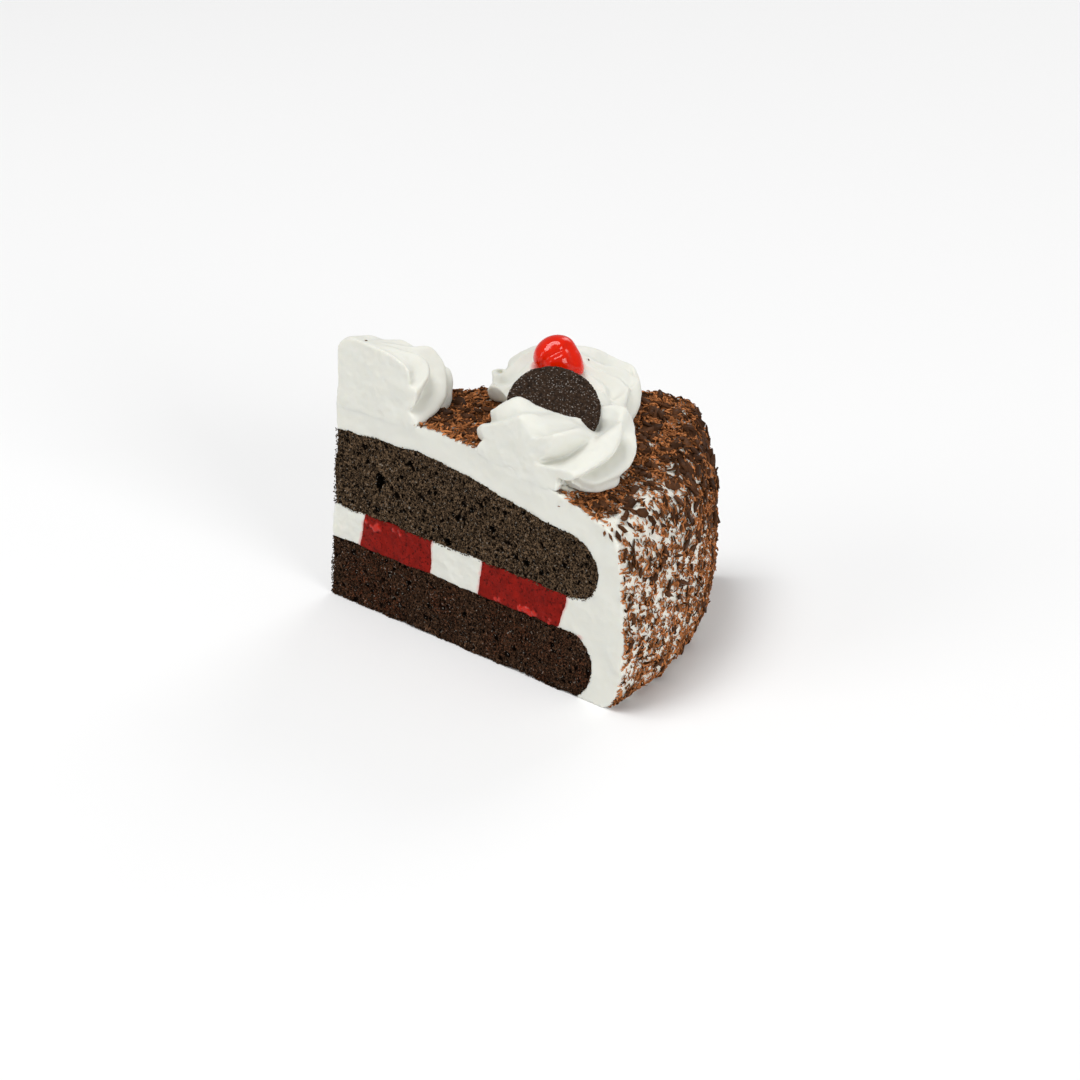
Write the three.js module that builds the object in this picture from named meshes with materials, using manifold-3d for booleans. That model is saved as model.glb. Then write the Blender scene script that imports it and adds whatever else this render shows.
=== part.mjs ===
// A slice of black forest cake, about one eighth of a round cake, standing on its flat base.
// Two chocolate sponges with rings of cream and cherry filling between them lie under a coat of whipped
// cream that is rough with chocolate flakes. Three piped cream rosettes stand on top, one of them with
// a candied cherry and one with a chocolate biscuit pushed into it.
// Millimetres, +Z up. The slice points along -X, its outer wall faces +X, and the origin is on the base,
// half way between the tip and the outer wall. Compass angles are degrees from +X. In the outlines, r is
// the distance from the cake's axis, which runs up through the tip. Places on the top are measured from
// the tip.
import * as THREE from "three";
import { mergeVertices } from "three/addons/utils/BufferGeometryUtils.js";
import Module from "manifold-3d";

const wasm = await Module();
wasm.setup();

// ---- Driving dimensions ----
const CAKE_RADIUS = 111; // outer face of the cream
const FRONT_CUT = -22.5; // compass angles of the two cuts at the base
const BACK_CUT = 25;
const WALL_SPONGE_GAP = 9; // cream between the upper sponge's rim and the outer wall
const GAP = 0.3; // between pieces that touch
const LEAN = 4.4 / 60; // how far the knife leant: the tip runs back along the front cut as it rises
const TALLEST = 130; // above every piece

const LOWER_SPONGE = { radius: 100, top: 19.4 };
const UPPER_SPONGE = { radius: CAKE_RADIUS - WALL_SPONGE_GAP, crown: 55.6, shoulder: 49.6 };
const FILLING_FLOOR = LOWER_SPONGE.top + GAP;
const FILLING_CEILING = 29.3;
// Radii of each ring's sides, at the floor and at the ceiling.
const RINGS = {
  creamTip: { inner: [0, 0], outer: [12, 15] },
  cherryInner: { inner: [12, 15], outer: [39.8, 40.8] },
  creamMiddle: { inner: [39.8, 40.8], outer: [58.8, 60] },
  cherryOuter: { inner: [58.8, 60], outer: [88.2, 91.4] },
};
const COAT = { middle: 62.5, crown: 64.3, crownRadius: 42, shoulder: 56.3, shoulderRadius: 99 };
const RIM_LIFT = 3.6; // how much higher the coat's rim stands at the back cut than at the front cut

// tops are the swirl's heights as shares of its height, at TOP_RADII, which are shares of its radius. tilt
// is how steeply its peak rises towards the compass angle tiltTowards, and the leans move the peak. Each
// row of crests is one ridge: its compass angles at STATIONS, in degrees.
const ROSETTES = {
  rosette_tip: {
    x: 12.8,
    y: -1,
    radius: 25,
    height: 20.6,
    tops: [0.98, 1, 0.94, 0.85, 0.68],
    tilt: -0.14,
    tiltTowards: 60,
    leanX: 1,
    leanY: -5,
    crests: [
      [-115, -108, -128, -145],
      [-70, -64, -92, -115],
      [-22, -30, -66, -95],
      [2, -2, -36, -64],
      [24, 32, 10, -32],
      [48, 58, 38, -2],
      [90, 100, 84, 45],
      [145, 150, 135, 105],
    ],
  },
  rosette_front: {
    x: 74.5,
    y: -16.5,
    radius: 22.4,
    height: 18,
    tops: [0.72, 0.79, 0.88, 0.82, 0.64],
    tilt: -0.3,
    tiltTowards: 0,
    leanX: 2.8,
    leanY: 1,
    crests: [
      [-165, -168, -198, -222],
      [-112, -135, -168, -195],
      [-38, -82, -136, -162],
      [25, -5, -28, -100],
      [45, 28, 30, -20],
      [75, 68, 62, 28],
      [110, 108, 98, 62],
      [152, 152, 130, 98],
    ],
  },
  rosette_back: {
    x: 66.8,
    y: 15,
    radius: 21.8,
    height: 20.6,
    tops: [0.82, 0.82, 0.71, 0.59, 0.47],
    tilt: -0.1,
    tiltTowards: 0,
    leanX: -1.5,
    leanY: 0,
    crests: [
      [-165, -150, -178, -214],
      [-122, -122, -146, -180],
      [-85, -78, -98, -124],
      [-48, -31, -48, -72],
      [-28, -5, -17, -35],
      [-2, 18, 12, -5],
      [60, 56, 36, 18],
      [100, 92, 70, 50],
      [135, 130, 108, 84],
      [165, 170, 144, 116],
    ],
  },
};
const STATIONS = [0.25, 0.55, 0.75, 1]; // shares of the way down a rosette, from its peak to its foot
const TOP_RADII = [0, 0.3, 0.55, 0.73, 0.87];
const SKIRT = [[0.96, 0.44], [1, 0.26], [0.99, 0.08], [0.93, -0.06], [0.84, -0.22], [0, -0.3]];
const RIDGE_DEPTH = 0.26; // of the distance between two ridges
const DROOP = { x: 5.4, y: -2.2, depth: 4, reach: 6 }; // where the swirl at the slice's tip sags

// The biscuit lies flat, tilts by this many degrees, and its face then turns to this direction.
const BISCUIT = { radius: 12.8, thickness: 2.4, x: 73.6, y: -14.7, z: 75.4, tilt: 36, facing: -59 };
const CHERRY = { radius: 6.8, height: 13, x: 67.4, y: 7, z: 80.6 };

const FLAKES_ON_TOP = { count: 60, length: [3.2, 6.8], width: [1.3, 2.6], reach: 106 };
const FLAKES_ON_WALL = { count: 72, length: [3, 7], width: [1, 2], foot: 4, shoulder: 52 };
const FLAKE_THICKNESS = 0.8;
const FLAKE_SEED = 20;

const LATHE_STEPS = 96; // round the whole cake

const TIP_X = -CAKE_RADIUS / 2;
const DEG = Math.PI / 180;
const { clamp, euclideanModulo, lerp, smoothstep } = THREE.MathUtils;

// ---- Finishes ----
const finish = (color, roughness) => new THREE.MeshStandardMaterial({ color, roughness, metalness: 0 });
const FINISHES = {
  cream: finish(0xefece0, 0.55),
  coat: finish(0xd9cfbf, 0.6),
  upperSponge: finish(0x3b2e22, 0.95),
  lowerSponge: finish(0x35221a, 0.95),
  filling: finish(0x8c1a14, 0.4),
  cherry: finish(0xd0140c, 0.15),
  biscuit: finish(0x2b211b, 0.7),
};

// ---- Helpers ----
// A closed three.js geometry as a manifold solid.
function solidOf(geometry) {
  const bare = geometry.clone();
  bare.deleteAttribute("normal");
  bare.deleteAttribute("uv");
  const merged = mergeVertices(bare, 1e-4);
  const vertProperties = new Float32Array(merged.attributes.position.array);
  const triVerts = new Uint32Array(merged.index.array);
  return new wasm.Manifold(new wasm.Mesh({ numProp: 3, vertProperties, triVerts }));
}

function meshOf(name, solid, material) {
  const { numProp, numVert, vertProperties, triVerts } = solid.getMesh();
  const positions = new Float32Array(numVert * 3);
  for (let i = 0; i < numVert; i++) {
    positions.set(vertProperties.subarray(i * numProp, i * numProp + 3), i * 3);
  }
  const geometry = new THREE.BufferGeometry();
  geometry.setAttribute("position", new THREE.BufferAttribute(positions, 3));
  geometry.setIndex(new THREE.BufferAttribute(triVerts, 1));
  geometry.computeVertexNormals();
  const mesh = new THREE.Mesh(geometry, material);
  mesh.name = name;
  return mesh;
}

// Seeded random numbers from 0 to 1.
function randomStream(seed) {
  let state = seed;
  return () => {
    state = (state + 0x6d2b79f5) | 0;
    let t = Math.imul(state ^ (state >>> 15), 1 | state);
    t = (t + Math.imul(t ^ (t >>> 7), 61 | t)) ^ t;
    return ((t ^ (t >>> 14)) >>> 0) / 4294967296;
  };
}

const points = (list) => list.map(([r, z]) => new THREE.Vector2(r, z));
const smooth = (list, steps) => new THREE.SplineCurve(points(list)).getPoints(steps);

// Turns an outline of (r, z) points round the cake's axis, then moves the axis to the slice's tip. lift is
// how much each point rises, from its distance, height and compass angle.
function turned(outline, lift = () => 0) {
  const geometry = new THREE.LatheGeometry(outline, LATHE_STEPS);
  geometry.rotateX(Math.PI / 2);
  const at = geometry.attributes.position;
  for (let i = 0; i < at.count; i++) {
    const [x, y, z] = [at.getX(i), at.getY(i), at.getZ(i)];
    at.setZ(i, z + lift(Math.hypot(x, y), z, Math.atan2(y, x) / DEG));
  }
  geometry.translate(TIP_X, 0, 0);
  const solid = solidOf(geometry);
  if (solid.volume() > 0) return solid;
  geometry.index.array.reverse();
  return solidOf(geometry);
}

// Keeps the largest body, which drops scraps and fills pockets sealed between flakes.
function largest(solid) {
  return solid.decompose().reduce((best, body) => (body.volume() > best.volume() ? body : best));
}

// ---- The wedge that the knife leaves ----
function wedge() {
  const far = 2 * CAKE_RADIUS;
  const corner = (cutAngle) => [TIP_X + far * Math.cos(cutAngle * DEG), far * Math.sin(cutAngle * DEG)];
  const plan = new THREE.Shape();
  plan.moveTo(TIP_X, 0);
  plan.lineTo(...corner(FRONT_CUT));
  plan.lineTo(...corner(BACK_CUT));
  plan.closePath();
  const geometry = new THREE.ExtrudeGeometry(plan, { depth: TALLEST, bevelEnabled: false });
  const at = geometry.attributes.position;
  const frontY = corner(FRONT_CUT)[1];
  for (let i = 0; i < at.count; i++) {
    if (Math.abs(at.getY(i) - frontY) < 1) continue;
    const shift = LEAN * at.getZ(i);
    at.setX(i, at.getX(i) + shift * Math.cos(FRONT_CUT * DEG));
    at.setY(i, at.getY(i) + shift * Math.sin(FRONT_CUT * DEG));
  }
  return solidOf(geometry);
}

// ---- Sponges: flat layers whose baked rims are rounded. grow makes them larger all round. ----
function lowerSponge(grow) {
  const { radius, top } = LOWER_SPONGE;
  const rim = smooth(
    [
      [radius - 5 + grow, 0],
      [radius - 1.2 + grow, 4.5],
      [radius + grow, 10.5],
      [radius - 1 + grow, 15.3 + grow],
      [radius - 4.5 + grow, 18.6 + grow],
      [radius - 9, top - 0.3 + grow],
    ],
    14,
  );
  const below = grow ? -1 : 0;
  return turned([...points([[0, below], [radius - 5 + grow, below]]), ...rim, ...points([[0, top + grow]])]);
}

function upperSponge(grow) {
  const { radius, crown, shoulder } = UPPER_SPONGE;
  const bottom = FILLING_CEILING + GAP;
  const rim = smooth(
    [
      [radius - 9, bottom - grow],
      [radius - 3.4 + grow, bottom + 1.6 - grow],
      [radius - 0.4 + grow, bottom + 6.5],
      [radius + grow, bottom + 12],
      [radius - 2.8 + grow, bottom + 16.6 + grow],
      [radius - 8, shoulder - 0.8 + grow],
      [radius - 15, shoulder + grow],
      [radius - 24, shoulder + 0.8 + grow],
      [radius - 40, shoulder + 3.6 + grow],
      [radius - 54, crown - 0.3 + grow],
      [radius - 68, crown + grow],
      [0, crown - 1.8 + grow],
    ],
    22,
  );
  return turned([...points([[0, bottom - grow]]), ...rim]);
}

// ---- Filling: a ring between two slanting sides ----
function fillingRing({ inner, outer }, clearInside, clearOutside) {
  const at = (side, top, clear) => [side[top] + clear, top ? FILLING_CEILING : FILLING_FLOOR];
  const corners = [at(inner, 0, clearInside), at(outer, 0, -clearOutside)];
  corners.push(at(outer, 1, -clearOutside), at(inner, 1, clearInside));
  if (inner[0] > 0) corners.push(corners[0]);
  return turned(points(corners));
}

// ---- Coat: a domed top, a round shoulder and an outer wall that draws in at the foot ----
function coatOutline(grow) {
  const { middle, crown, crownRadius, shoulder, shoulderRadius } = COAT;
  return [
    ...points([[0, grow ? -1 : 0]]),
    ...smooth(
      [
        [CAKE_RADIUS - 6.5 + grow, 0],
        [CAKE_RADIUS - 2.6 + grow, 3.5],
        [CAKE_RADIUS - 0.5 + grow, 10],
        [CAKE_RADIUS + 0.4 + grow, 20],
        [CAKE_RADIUS + grow, 34],
        [CAKE_RADIUS - 0.8 + grow, 46],
        [CAKE_RADIUS - 2.6 + grow, 51.3 + grow / 2],
        [shoulderRadius + 6 + grow / 2, 54.4 + grow],
        [shoulderRadius, shoulder + grow],
        [86, 59.9 + grow],
        [70, 62.6 + grow],
        [55, 63.9 + grow],
        [crownRadius, crown + grow],
        [22, crown - 0.9 + grow],
        [0, middle + grow],
      ],
      27,
    ),
  ];
}

// The rim stands higher and squarer towards the back cut.
function rimLift(r, z, angle) {
  const back = smoothstep(angle, FRONT_CUT / 2, BACK_CUT);
  return RIM_LIFT * back * smoothstep(r, 70, 100) * smoothstep(z, 34, 54);
}

const coatBody = (grow) => turned(coatOutline(grow), rimLift);

// How high the coat's top lies at a distance from the axis, at the front cut or at another compass angle.
function coatTop(r, angle = FRONT_CUT) {
  const outline = coatOutline(0);
  for (let i = outline.length - 1; i > 0; i--) {
    const [near, far] = [outline[i], outline[i - 1]];
    if (r > far.x) continue;
    const z = near.y + ((far.y - near.y) * (r - near.x)) / (far.x - near.x);
    return z + rimLift(r, z, angle);
  }
  return 0;
}

// The wall's radius at a height.
function coatWall(z) {
  const outline = coatOutline(0);
  for (let i = 2; i < outline.length; i++) {
    const [low, high] = [outline[i - 1], outline[i]];
    if (z <= high.y) return low.x + ((high.x - low.x) * (z - low.y)) / (high.y - low.y);
  }
  return 0;
}

// ---- Rosettes: domed swirls whose ridges turn as they climb ----
function rosetteProfile({ radius, height, tops }) {
  const outline = [...TOP_RADII.map((r, i) => [r, tops[i]]), ...SKIRT];
  return new THREE.SplineCurve(points(outline.map(([r, z]) => [r * radius, z * height])));
}

// A ridge's compass angles, as a function of the share of the way down.
function crestAngle(crest) {
  const curve = smooth(STATIONS.map((station, i) => [station, crest[i] * DEG]), 60);
  return (down) => {
    if (down <= curve[0].x) return curve[0].y;
    for (let i = 1; i < curve.length; i++) {
      if (down <= curve[i].x) {
        const share = (down - curve[i - 1].x) / (curve[i].x - curve[i - 1].x);
        return lerp(curve[i - 1].y, curve[i].y, share);
      }
    }
    return curve[curve.length - 1].y;
  };
}

// 1 on a crest and 0 in the crease between two. Ridges are narrow at the peak and broad at the foot.
function ridgeShape(across, down) {
  const fromCrest = Math.min(across, 1 - across) * 2;
  const narrow = 1 - Math.sin((Math.PI / 2) * fromCrest) ** 1.35;
  const broad = 1 - fromCrest ** 2.6;
  return lerp(narrow, broad, Math.min(1, down) ** 2);
}

const STEPS_IN_RIDGE = 6;
const RISE_STEPS = 16;

// One swirl. A filled one has no creases, so it is the space round the crests.
function rosette(place, filled = false) {
  const { radius, height, crests, tilt } = place;
  const towards = place.tiltTowards * DEG;
  const geometry = new THREE.SphereGeometry(1, STEPS_IN_RIDGE * crests.length, RISE_STEPS);
  geometry.rotateX(Math.PI / 2);
  const profile = rosetteProfile(place);
  const angles = [...crests, crests[0].map((angle) => angle + 360)].map(crestAngle);
  let foot = 1;
  while (profile.getPointAt(foot).y <= 0) foot -= 0.0025;

  const at = geometry.attributes.position;
  for (let i = 0; i < at.count; i++) {
    const along = Math.acos(clamp(at.getZ(i), -1, 1)) / Math.PI;
    const down = along / foot;
    const ring = profile.getPointAt(along);
    const slope = profile.getTangentAt(along);

    // Each column of points keeps its place between two crests all the way down.
    const turn = Math.atan2(at.getY(i), at.getX(i)) / (2 * Math.PI);
    const column = euclideanModulo(turn, 1) * crests.length;
    const first = Math.min(Math.floor(column), crests.length - 1);
    const across = column - first;
    const start = angles[first](down);
    const gap = angles[first + 1](down) - start;
    const angle = start + across * gap;

    const depth = filled ? 0 : RIDGE_DEPTH * ring.x * gap * Math.min(1, 2.2 * down);
    const sunk = depth * (1 - ridgeShape(across, down));
    const r = Math.max(0, ring.x + slope.y * sunk);
    const [x, y] = [r * Math.cos(angle), r * Math.sin(angle)];
    const risen = clamp(ring.y / height, 0, 1) ** 2;
    const inner = 1 - smoothstep(ring.x / radius, 0.45, 0.85);
    const uphill = x * Math.cos(towards) + y * Math.sin(towards);
    const level = ring.y - slope.x * sunk + tilt * inner * (uphill > 0 ? uphill : uphill / 2);
    const [leantX, leantY] = [x + place.leanX * risen, y + place.leanY * risen];
    const fromTip = Math.hypot(place.x + leantX - DROOP.x, place.y + leantY - DROOP.y);
    const droop = DROOP.depth * risen * Math.max(0, 1 - fromTip / DROOP.reach) ** 2;
    at.setXYZ(i, leantX, leantY, level - droop);
  }
  geometry.translate(TIP_X + place.x, place.y, coatTop(Math.hypot(place.x, place.y)));
  return solidOf(geometry);
}

// The space round a rosette's crests, which its neighbour keeps out of.
function rosetteRoom(place) {
  return rosette({ ...place, radius: place.radius + GAP, height: place.height + GAP }, true);
}

// ---- Biscuit: a thin disc with a rounded edge, leaning back in the cream ----
function biscuit(grow = 0) {
  const { radius, thickness, x, y, z, tilt, facing } = BISCUIT;
  const outer = radius + grow;
  const half = thickness / 2 + grow;
  const edge = [
    [0, -half],
    [outer - 0.7, -half],
    [outer, -half + 0.8],
    [outer, half - 0.8],
    [outer - 0.7, half],
    [0, half],
  ];
  const geometry = new THREE.LatheGeometry(points(edge), 32);
  geometry.rotateX(Math.PI / 2);
  geometry.rotateY(tilt * DEG);
  geometry.rotateZ(facing * DEG);
  geometry.translate(TIP_X + x, y, z);
  return solidOf(geometry);
}

// ---- Cherry: a plump ball, narrower below, with a crease over its top ----
function cherry(grow = 0) {
  const { radius, height, x, y, z } = CHERRY;
  const geometry = new THREE.SphereGeometry(1, 20, 14);
  geometry.rotateX(Math.PI / 2);
  const at = geometry.attributes.position;
  for (let i = 0; i < at.count; i++) {
    const [px, py, pz] = [at.getX(i), at.getY(i), at.getZ(i)];
    const narrow = 1 - 0.12 * Math.max(0, -pz);
    const crease = 0.07 * Math.exp(-((px * 3) ** 2)) * Math.max(0, pz);
    const wide = (radius + grow) * narrow;
    at.setXYZ(i, wide * px, wide * py, (height / 2 + grow) * (pz - crease));
  }
  geometry.translate(TIP_X + x, y, z);
  return solidOf(geometry);
}

// ---- Flakes: flat slivers of chocolate, half sunk in the cream ----
function flake(length, width) {
  const plan = new THREE.Shape();
  plan.moveTo(-length / 2, -width * 0.35);
  plan.lineTo(length * 0.42, -width / 2);
  plan.lineTo(length / 2, width * 0.3);
  plan.lineTo(-length * 0.38, width / 2);
  plan.closePath();
  const geometry = new THREE.ExtrudeGeometry(plan, { depth: FLAKE_THICKNESS, bevelEnabled: false });
  geometry.translate(0, 0, -FLAKE_THICKNESS / 2);
  return geometry;
}

function flakeAt(geometry, position, outward, turn, tip) {
  geometry.rotateZ(turn);
  geometry.rotateX(tip);
  const facing = new THREE.Quaternion().setFromUnitVectors(new THREE.Vector3(0, 0, 1), outward);
  geometry.applyQuaternion(facing);
  geometry.translate(TIP_X + position.x, position.y, position.z);
  return solidOf(geometry);
}

// Keeps a flake off the rosettes, whose lowest ridges overhang the top.
function nearRosette(x, y, clear) {
  return Object.values(ROSETTES).some((r) => Math.hypot(x - r.x, y - r.y) < r.radius + clear);
}

// Keeps a flake off the cuts, so that none is sliced.
function nearCut(x, y, z) {
  const CLEAR = 2.5;
  const [frontAngle, backAngle] = [FRONT_CUT * DEG, BACK_CUT * DEG];
  const front = y * Math.cos(frontAngle) - x * Math.sin(frontAngle);
  const [tipX, tipY] = [LEAN * z * Math.cos(frontAngle), LEAN * z * Math.sin(frontAngle)];
  const back = (x - tipX) * Math.sin(backAngle) - (y - tipY) * Math.cos(backAngle);
  return front < CLEAR || back < CLEAR;
}

// Evenly spread pairs of numbers from 0 to 1, one pair for each step of the walk.
const spread = (step) => [(step * 0.7548776662) % 1, (step * 0.5698402910) % 1];
const WALK = 4000; // steps at most

function flakes() {
  const random = randomStream(FLAKE_SEED);
  const between = (low, high) => low + (high - low) * random();
  const made = [];

  // On the top they lie any way round.
  const top = FLAKES_ON_TOP;
  for (let step = 1, kept = 0; kept < top.count && step < WALK; step++) {
    const [along, across] = spread(step);
    const r = top.reach * Math.sqrt(along);
    const compass = lerp(FRONT_CUT, BACK_CUT, across);
    const angle = compass * DEG;
    const [x, y] = [r * Math.cos(angle), r * Math.sin(angle)];
    const length = between(...top.length);
    if (nearCut(x, y, COAT.crown) || nearRosette(x, y, length / 2 + 2 * GAP)) continue;
    const slope = (coatTop(r + 1, compass) - coatTop(r - 1, compass)) / 2;
    const outward = new THREE.Vector3(-slope * Math.cos(angle), -slope * Math.sin(angle), 1).normalize();
    const position = new THREE.Vector3(x, y, coatTop(r, compass) + 0.25);
    const shape = flake(length, between(...top.width));
    made.push(flakeAt(shape, position, outward, between(0, Math.PI), between(-0.35, 0.35)));
    kept++;
  }

  // On the wall most of them stand upright.
  const wall = FLAKES_ON_WALL;
  for (let step = 1, kept = 0; kept < wall.count && step < WALK; step++) {
    const [along, across] = spread(step);
    const z = lerp(wall.foot, wall.shoulder, along);
    const compass = lerp(FRONT_CUT, BACK_CUT, across);
    const angle = compass * DEG;
    const r = coatWall(z);
    const [x, y] = [r * Math.cos(angle), r * Math.sin(angle)];
    const length = between(...wall.length);
    if (nearCut(x, y, z) || z < length / 2 + 2 * GAP) continue;
    const slope = (coatWall(z + 1) - coatWall(z - 1)) / 2;
    const outward = new THREE.Vector3(Math.cos(angle), Math.sin(angle), -slope).normalize();
    const position = new THREE.Vector3(x, y, z + rimLift(r, z, compass)).addScaledVector(outward, 0.2);
    const shape = flake(length, between(...wall.width));
    made.push(flakeAt(shape, position, outward, angle + between(-0.4, 0.4), between(-0.2, 0.2)));
    kept++;
  }
  return made;
}

// ---- The slice ----
const cut = wedge();
const stack = lowerSponge(GAP)
  .add(upperSponge(GAP))
  .add(fillingRing({ inner: [0, 0], outer: RINGS.cherryOuter.outer }, 0, -GAP));

const bareCoat = coatBody(0).subtract(stack).intersect(cut);
const coat = largest(flakes().reduce((whole, piece) => whole.add(piece), bareCoat));

const onCoat = coatBody(GAP);
const biscuitSpace = biscuit(GAP);
const piped = (place) => rosette(place).intersect(cut).subtract(onCoat);
const rosetteFront = piped(ROSETTES.rosette_front).subtract(biscuitSpace);
const rosetteBack = piped(ROSETTES.rosette_back)
  .subtract(rosetteRoom(ROSETTES.rosette_front))
  .subtract(cherry(GAP))
  .subtract(biscuitSpace);

const slice = new THREE.Group();
slice.name = "black_forest_cake_slice";
slice.add(
  meshOf("sponge_lower", lowerSponge(0).intersect(cut), FINISHES.lowerSponge),
  meshOf("sponge_upper", upperSponge(0).intersect(cut), FINISHES.upperSponge),
  meshOf("filling_cream_tip", fillingRing(RINGS.creamTip, 0, GAP).intersect(cut), FINISHES.cream),
  meshOf("filling_cherry_inner", fillingRing(RINGS.cherryInner, 0, GAP).intersect(cut), FINISHES.filling),
  meshOf("filling_cream_middle", fillingRing(RINGS.creamMiddle, 0, GAP).intersect(cut), FINISHES.cream),
  meshOf("filling_cherry_outer", fillingRing(RINGS.cherryOuter, 0, 0).intersect(cut), FINISHES.filling),
  meshOf("coat_with_flakes", coat, FINISHES.coat),
  meshOf("rosette_tip", piped(ROSETTES.rosette_tip), FINISHES.cream),
  meshOf("rosette_front", rosetteFront, FINISHES.cream),
  meshOf("rosette_back", rosetteBack, FINISHES.cream),
  meshOf("cherry", cherry(), FINISHES.cherry),
  meshOf("biscuit", biscuit(), FINISHES.biscuit),
);

export default slice;
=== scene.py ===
"""A slice of black forest cake, dressed for close viewing.

Each layer is a closed body, turned round the cake's axis between the knife's two cuts. It is then given
an even grid, and the points of that grid are moved in and out to make its crumb, cream or filling.
Chocolate lies on the cream as joined meshes of shavings, flakes and dust. Everything is in metres, in the
cake's frame.
"""

import math

import bmesh
import bpy
import numpy as np
from bpy.props import FloatProperty, FloatVectorProperty, IntProperty, PointerProperty
from mathutils import Matrix, Vector, noise


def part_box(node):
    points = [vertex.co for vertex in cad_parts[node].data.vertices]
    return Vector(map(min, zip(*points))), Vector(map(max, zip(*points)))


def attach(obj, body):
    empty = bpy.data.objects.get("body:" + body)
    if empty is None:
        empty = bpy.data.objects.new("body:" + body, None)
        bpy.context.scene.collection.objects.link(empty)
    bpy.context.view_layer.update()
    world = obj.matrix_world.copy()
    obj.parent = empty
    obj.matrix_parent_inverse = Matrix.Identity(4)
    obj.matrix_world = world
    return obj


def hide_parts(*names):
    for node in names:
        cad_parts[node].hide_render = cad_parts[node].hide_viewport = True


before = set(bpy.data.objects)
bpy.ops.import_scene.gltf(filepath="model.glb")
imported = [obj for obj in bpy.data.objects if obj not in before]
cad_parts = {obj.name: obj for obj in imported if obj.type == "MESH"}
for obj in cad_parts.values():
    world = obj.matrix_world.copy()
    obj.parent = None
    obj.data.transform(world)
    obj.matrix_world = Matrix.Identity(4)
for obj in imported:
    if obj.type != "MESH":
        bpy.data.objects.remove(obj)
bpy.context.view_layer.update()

bl_info = {
    "name": "Black Forest Cake Slice",
    "version": (1, 0, 0),
    "blender": (4, 5, 0),
    "location": "View3D > Sidebar > Cake",
    "description": "Makes a slice of black forest cake with sponges, fillings, piped cream and chocolate",
    "category": "Add Mesh",
}

MM = 0.001
TIP_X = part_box("sponge_lower")[0].x
RADIUS = -2 * TIP_X  # of the outer wall, because the origin lies half way to it
FRONT_CUT = math.radians(-22.5)  # compass angles of the two cuts at the base
BACK_CUT = math.radians(25)
OVERLAP = 0.3 * MM  # how far one layer reaches into the next, so that no gap shows


# ---- Sizes and colours ----
class CakeSizes(bpy.types.PropertyGroup):
    """How the layers are cut and how fine their surfaces are"""

    lean: FloatProperty(
        name="Knife lean",
        description="How far the tip runs back for each unit that it rises",
        default=4.4 / 60,
        unit="NONE",
    )
    coarse: FloatProperty(
        name="Layer grid",
        description="Grid of the hidden sides of a sponge and of the coat",
        default=0.6 * MM,
        unit="LENGTH",
    )
    fine: FloatProperty(
        name="Cream grid",
        description="Grid of the rosettes and fillings",
        default=0.36 * MM,
        unit="LENGTH",
    )
    unevenness: FloatProperty(
        name="Unevenness",
        description="How far the seams between layers wander",
        default=0.45 * MM,
        unit="LENGTH",
    )
    pore_spacing: FloatProperty(
        name="Pore spacing",
        description="Distance between neighbouring pores of the sponges",
        default=1.75 * MM,
        unit="LENGTH",
    )
    cream_relief: FloatProperty(
        name="Cream relief",
        description="Height of the knife marks on the coat",
        default=0.5 * MM,
        unit="LENGTH",
    )


class PieceAmounts(bpy.types.PropertyGroup):
    """How many pieces of each kind of chocolate lie on the cream, and how many crumbs on the cuts"""

    shavings: IntProperty(name="Fine shavings", description="Short thin slivers", default=7000)
    curls: IntProperty(name="Curls", description="Longer bent slivers", default=4200)
    flakes: IntProperty(name="Dark flakes", description="Broken flat flakes", default=420)
    broad_flakes: IntProperty(name="Broad flakes", description="The largest, most on the top", default=120)
    dust: IntProperty(name="Dust", description="Grains between the shavings", default=9000)
    crumbs: IntProperty(name="Crumbs", description="Crumbs on the cuts of each sponge", default=7200)


def colour(label, text, value):
    return FloatVectorProperty(name=label, description=text, default=value, subtype="COLOR", min=0, max=1)


class CakeColours(bpy.types.PropertyGroup):
    """The colours of the slice"""

    cream: colour("Cream", "Whipped cream", (0.75, 0.75, 0.685))
    crumb_light: colour("Upper crumb", "Raised crumb of the upper sponge", (0.175, 0.113, 0.065))
    # Painted shade: the upper pore colour is near black and stands for the shade in the pores; it is also the
    # darkest brown of the upper crumbs.
    crumb_dark_and_pore_shade: colour("Upper pores", "Pores of the upper sponge", (0.004, 0.0022, 0.001))
    moist_light: colour("Lower crumb", "Raised crumb of the lower sponge", (0.112, 0.058, 0.032))
    # Painted shade: the lower pore colour is near black and stands for the shade in the pores; it is also the
    # darkest brown of the lower crumbs.
    moist_dark_and_pore_shade: colour("Lower pores", "Pores of the lower sponge", (0.004, 0.0018, 0.0008))
    soaked: colour("Soaked crumb", "Lower crumb that cherry juice has soaked", (0.120, 0.040, 0.018))
    filling: colour("Cherry filling", "Set cherry filling", (0.215, 0.0085, 0.0050))
    cherry: colour("Cherry", "Candied cherry", (0.76, 0.014, 0.0003))
    chocolate_light: colour("Light shavings", "Thinnest shavings", (0.68, 0.258, 0.092))
    chocolate_dark: colour("Dark shavings", "Thickest shavings", (0.034, 0.0105, 0.0014))
    flake: colour("Thick flakes", "Broken dark chocolate", (0.058, 0.0235, 0.0100))
    biscuit: colour("Biscuit", "Dark cocoa biscuit", (0.024, 0.0135, 0.0078))
    floor: colour("Floor", "The surface under the slice", (0.91, 0.91, 0.91))


def sizes():
    return bpy.context.scene.cake_sizes


def amounts():
    return bpy.context.scene.cake_amounts


def colours():
    return bpy.context.scene.cake_colours


# ---- Measures of places ----
def from_axis(at):
    """How far places lie from the cake's axis."""
    return np.hypot(at[:, 0] - TIP_X, at[:, 1])


def compass(at):
    """The compass angles of places seen from the cake's axis, in degrees."""
    return np.degrees(np.arctan2(at[:, 1], at[:, 0] - TIP_X))


def ramp(values, low, high):
    """Runs smoothly from 0 at the low value to 1 at the high one."""
    share = np.clip((values - low) / (high - low), 0, 1)
    return share * share * (3 - 2 * share)


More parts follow.
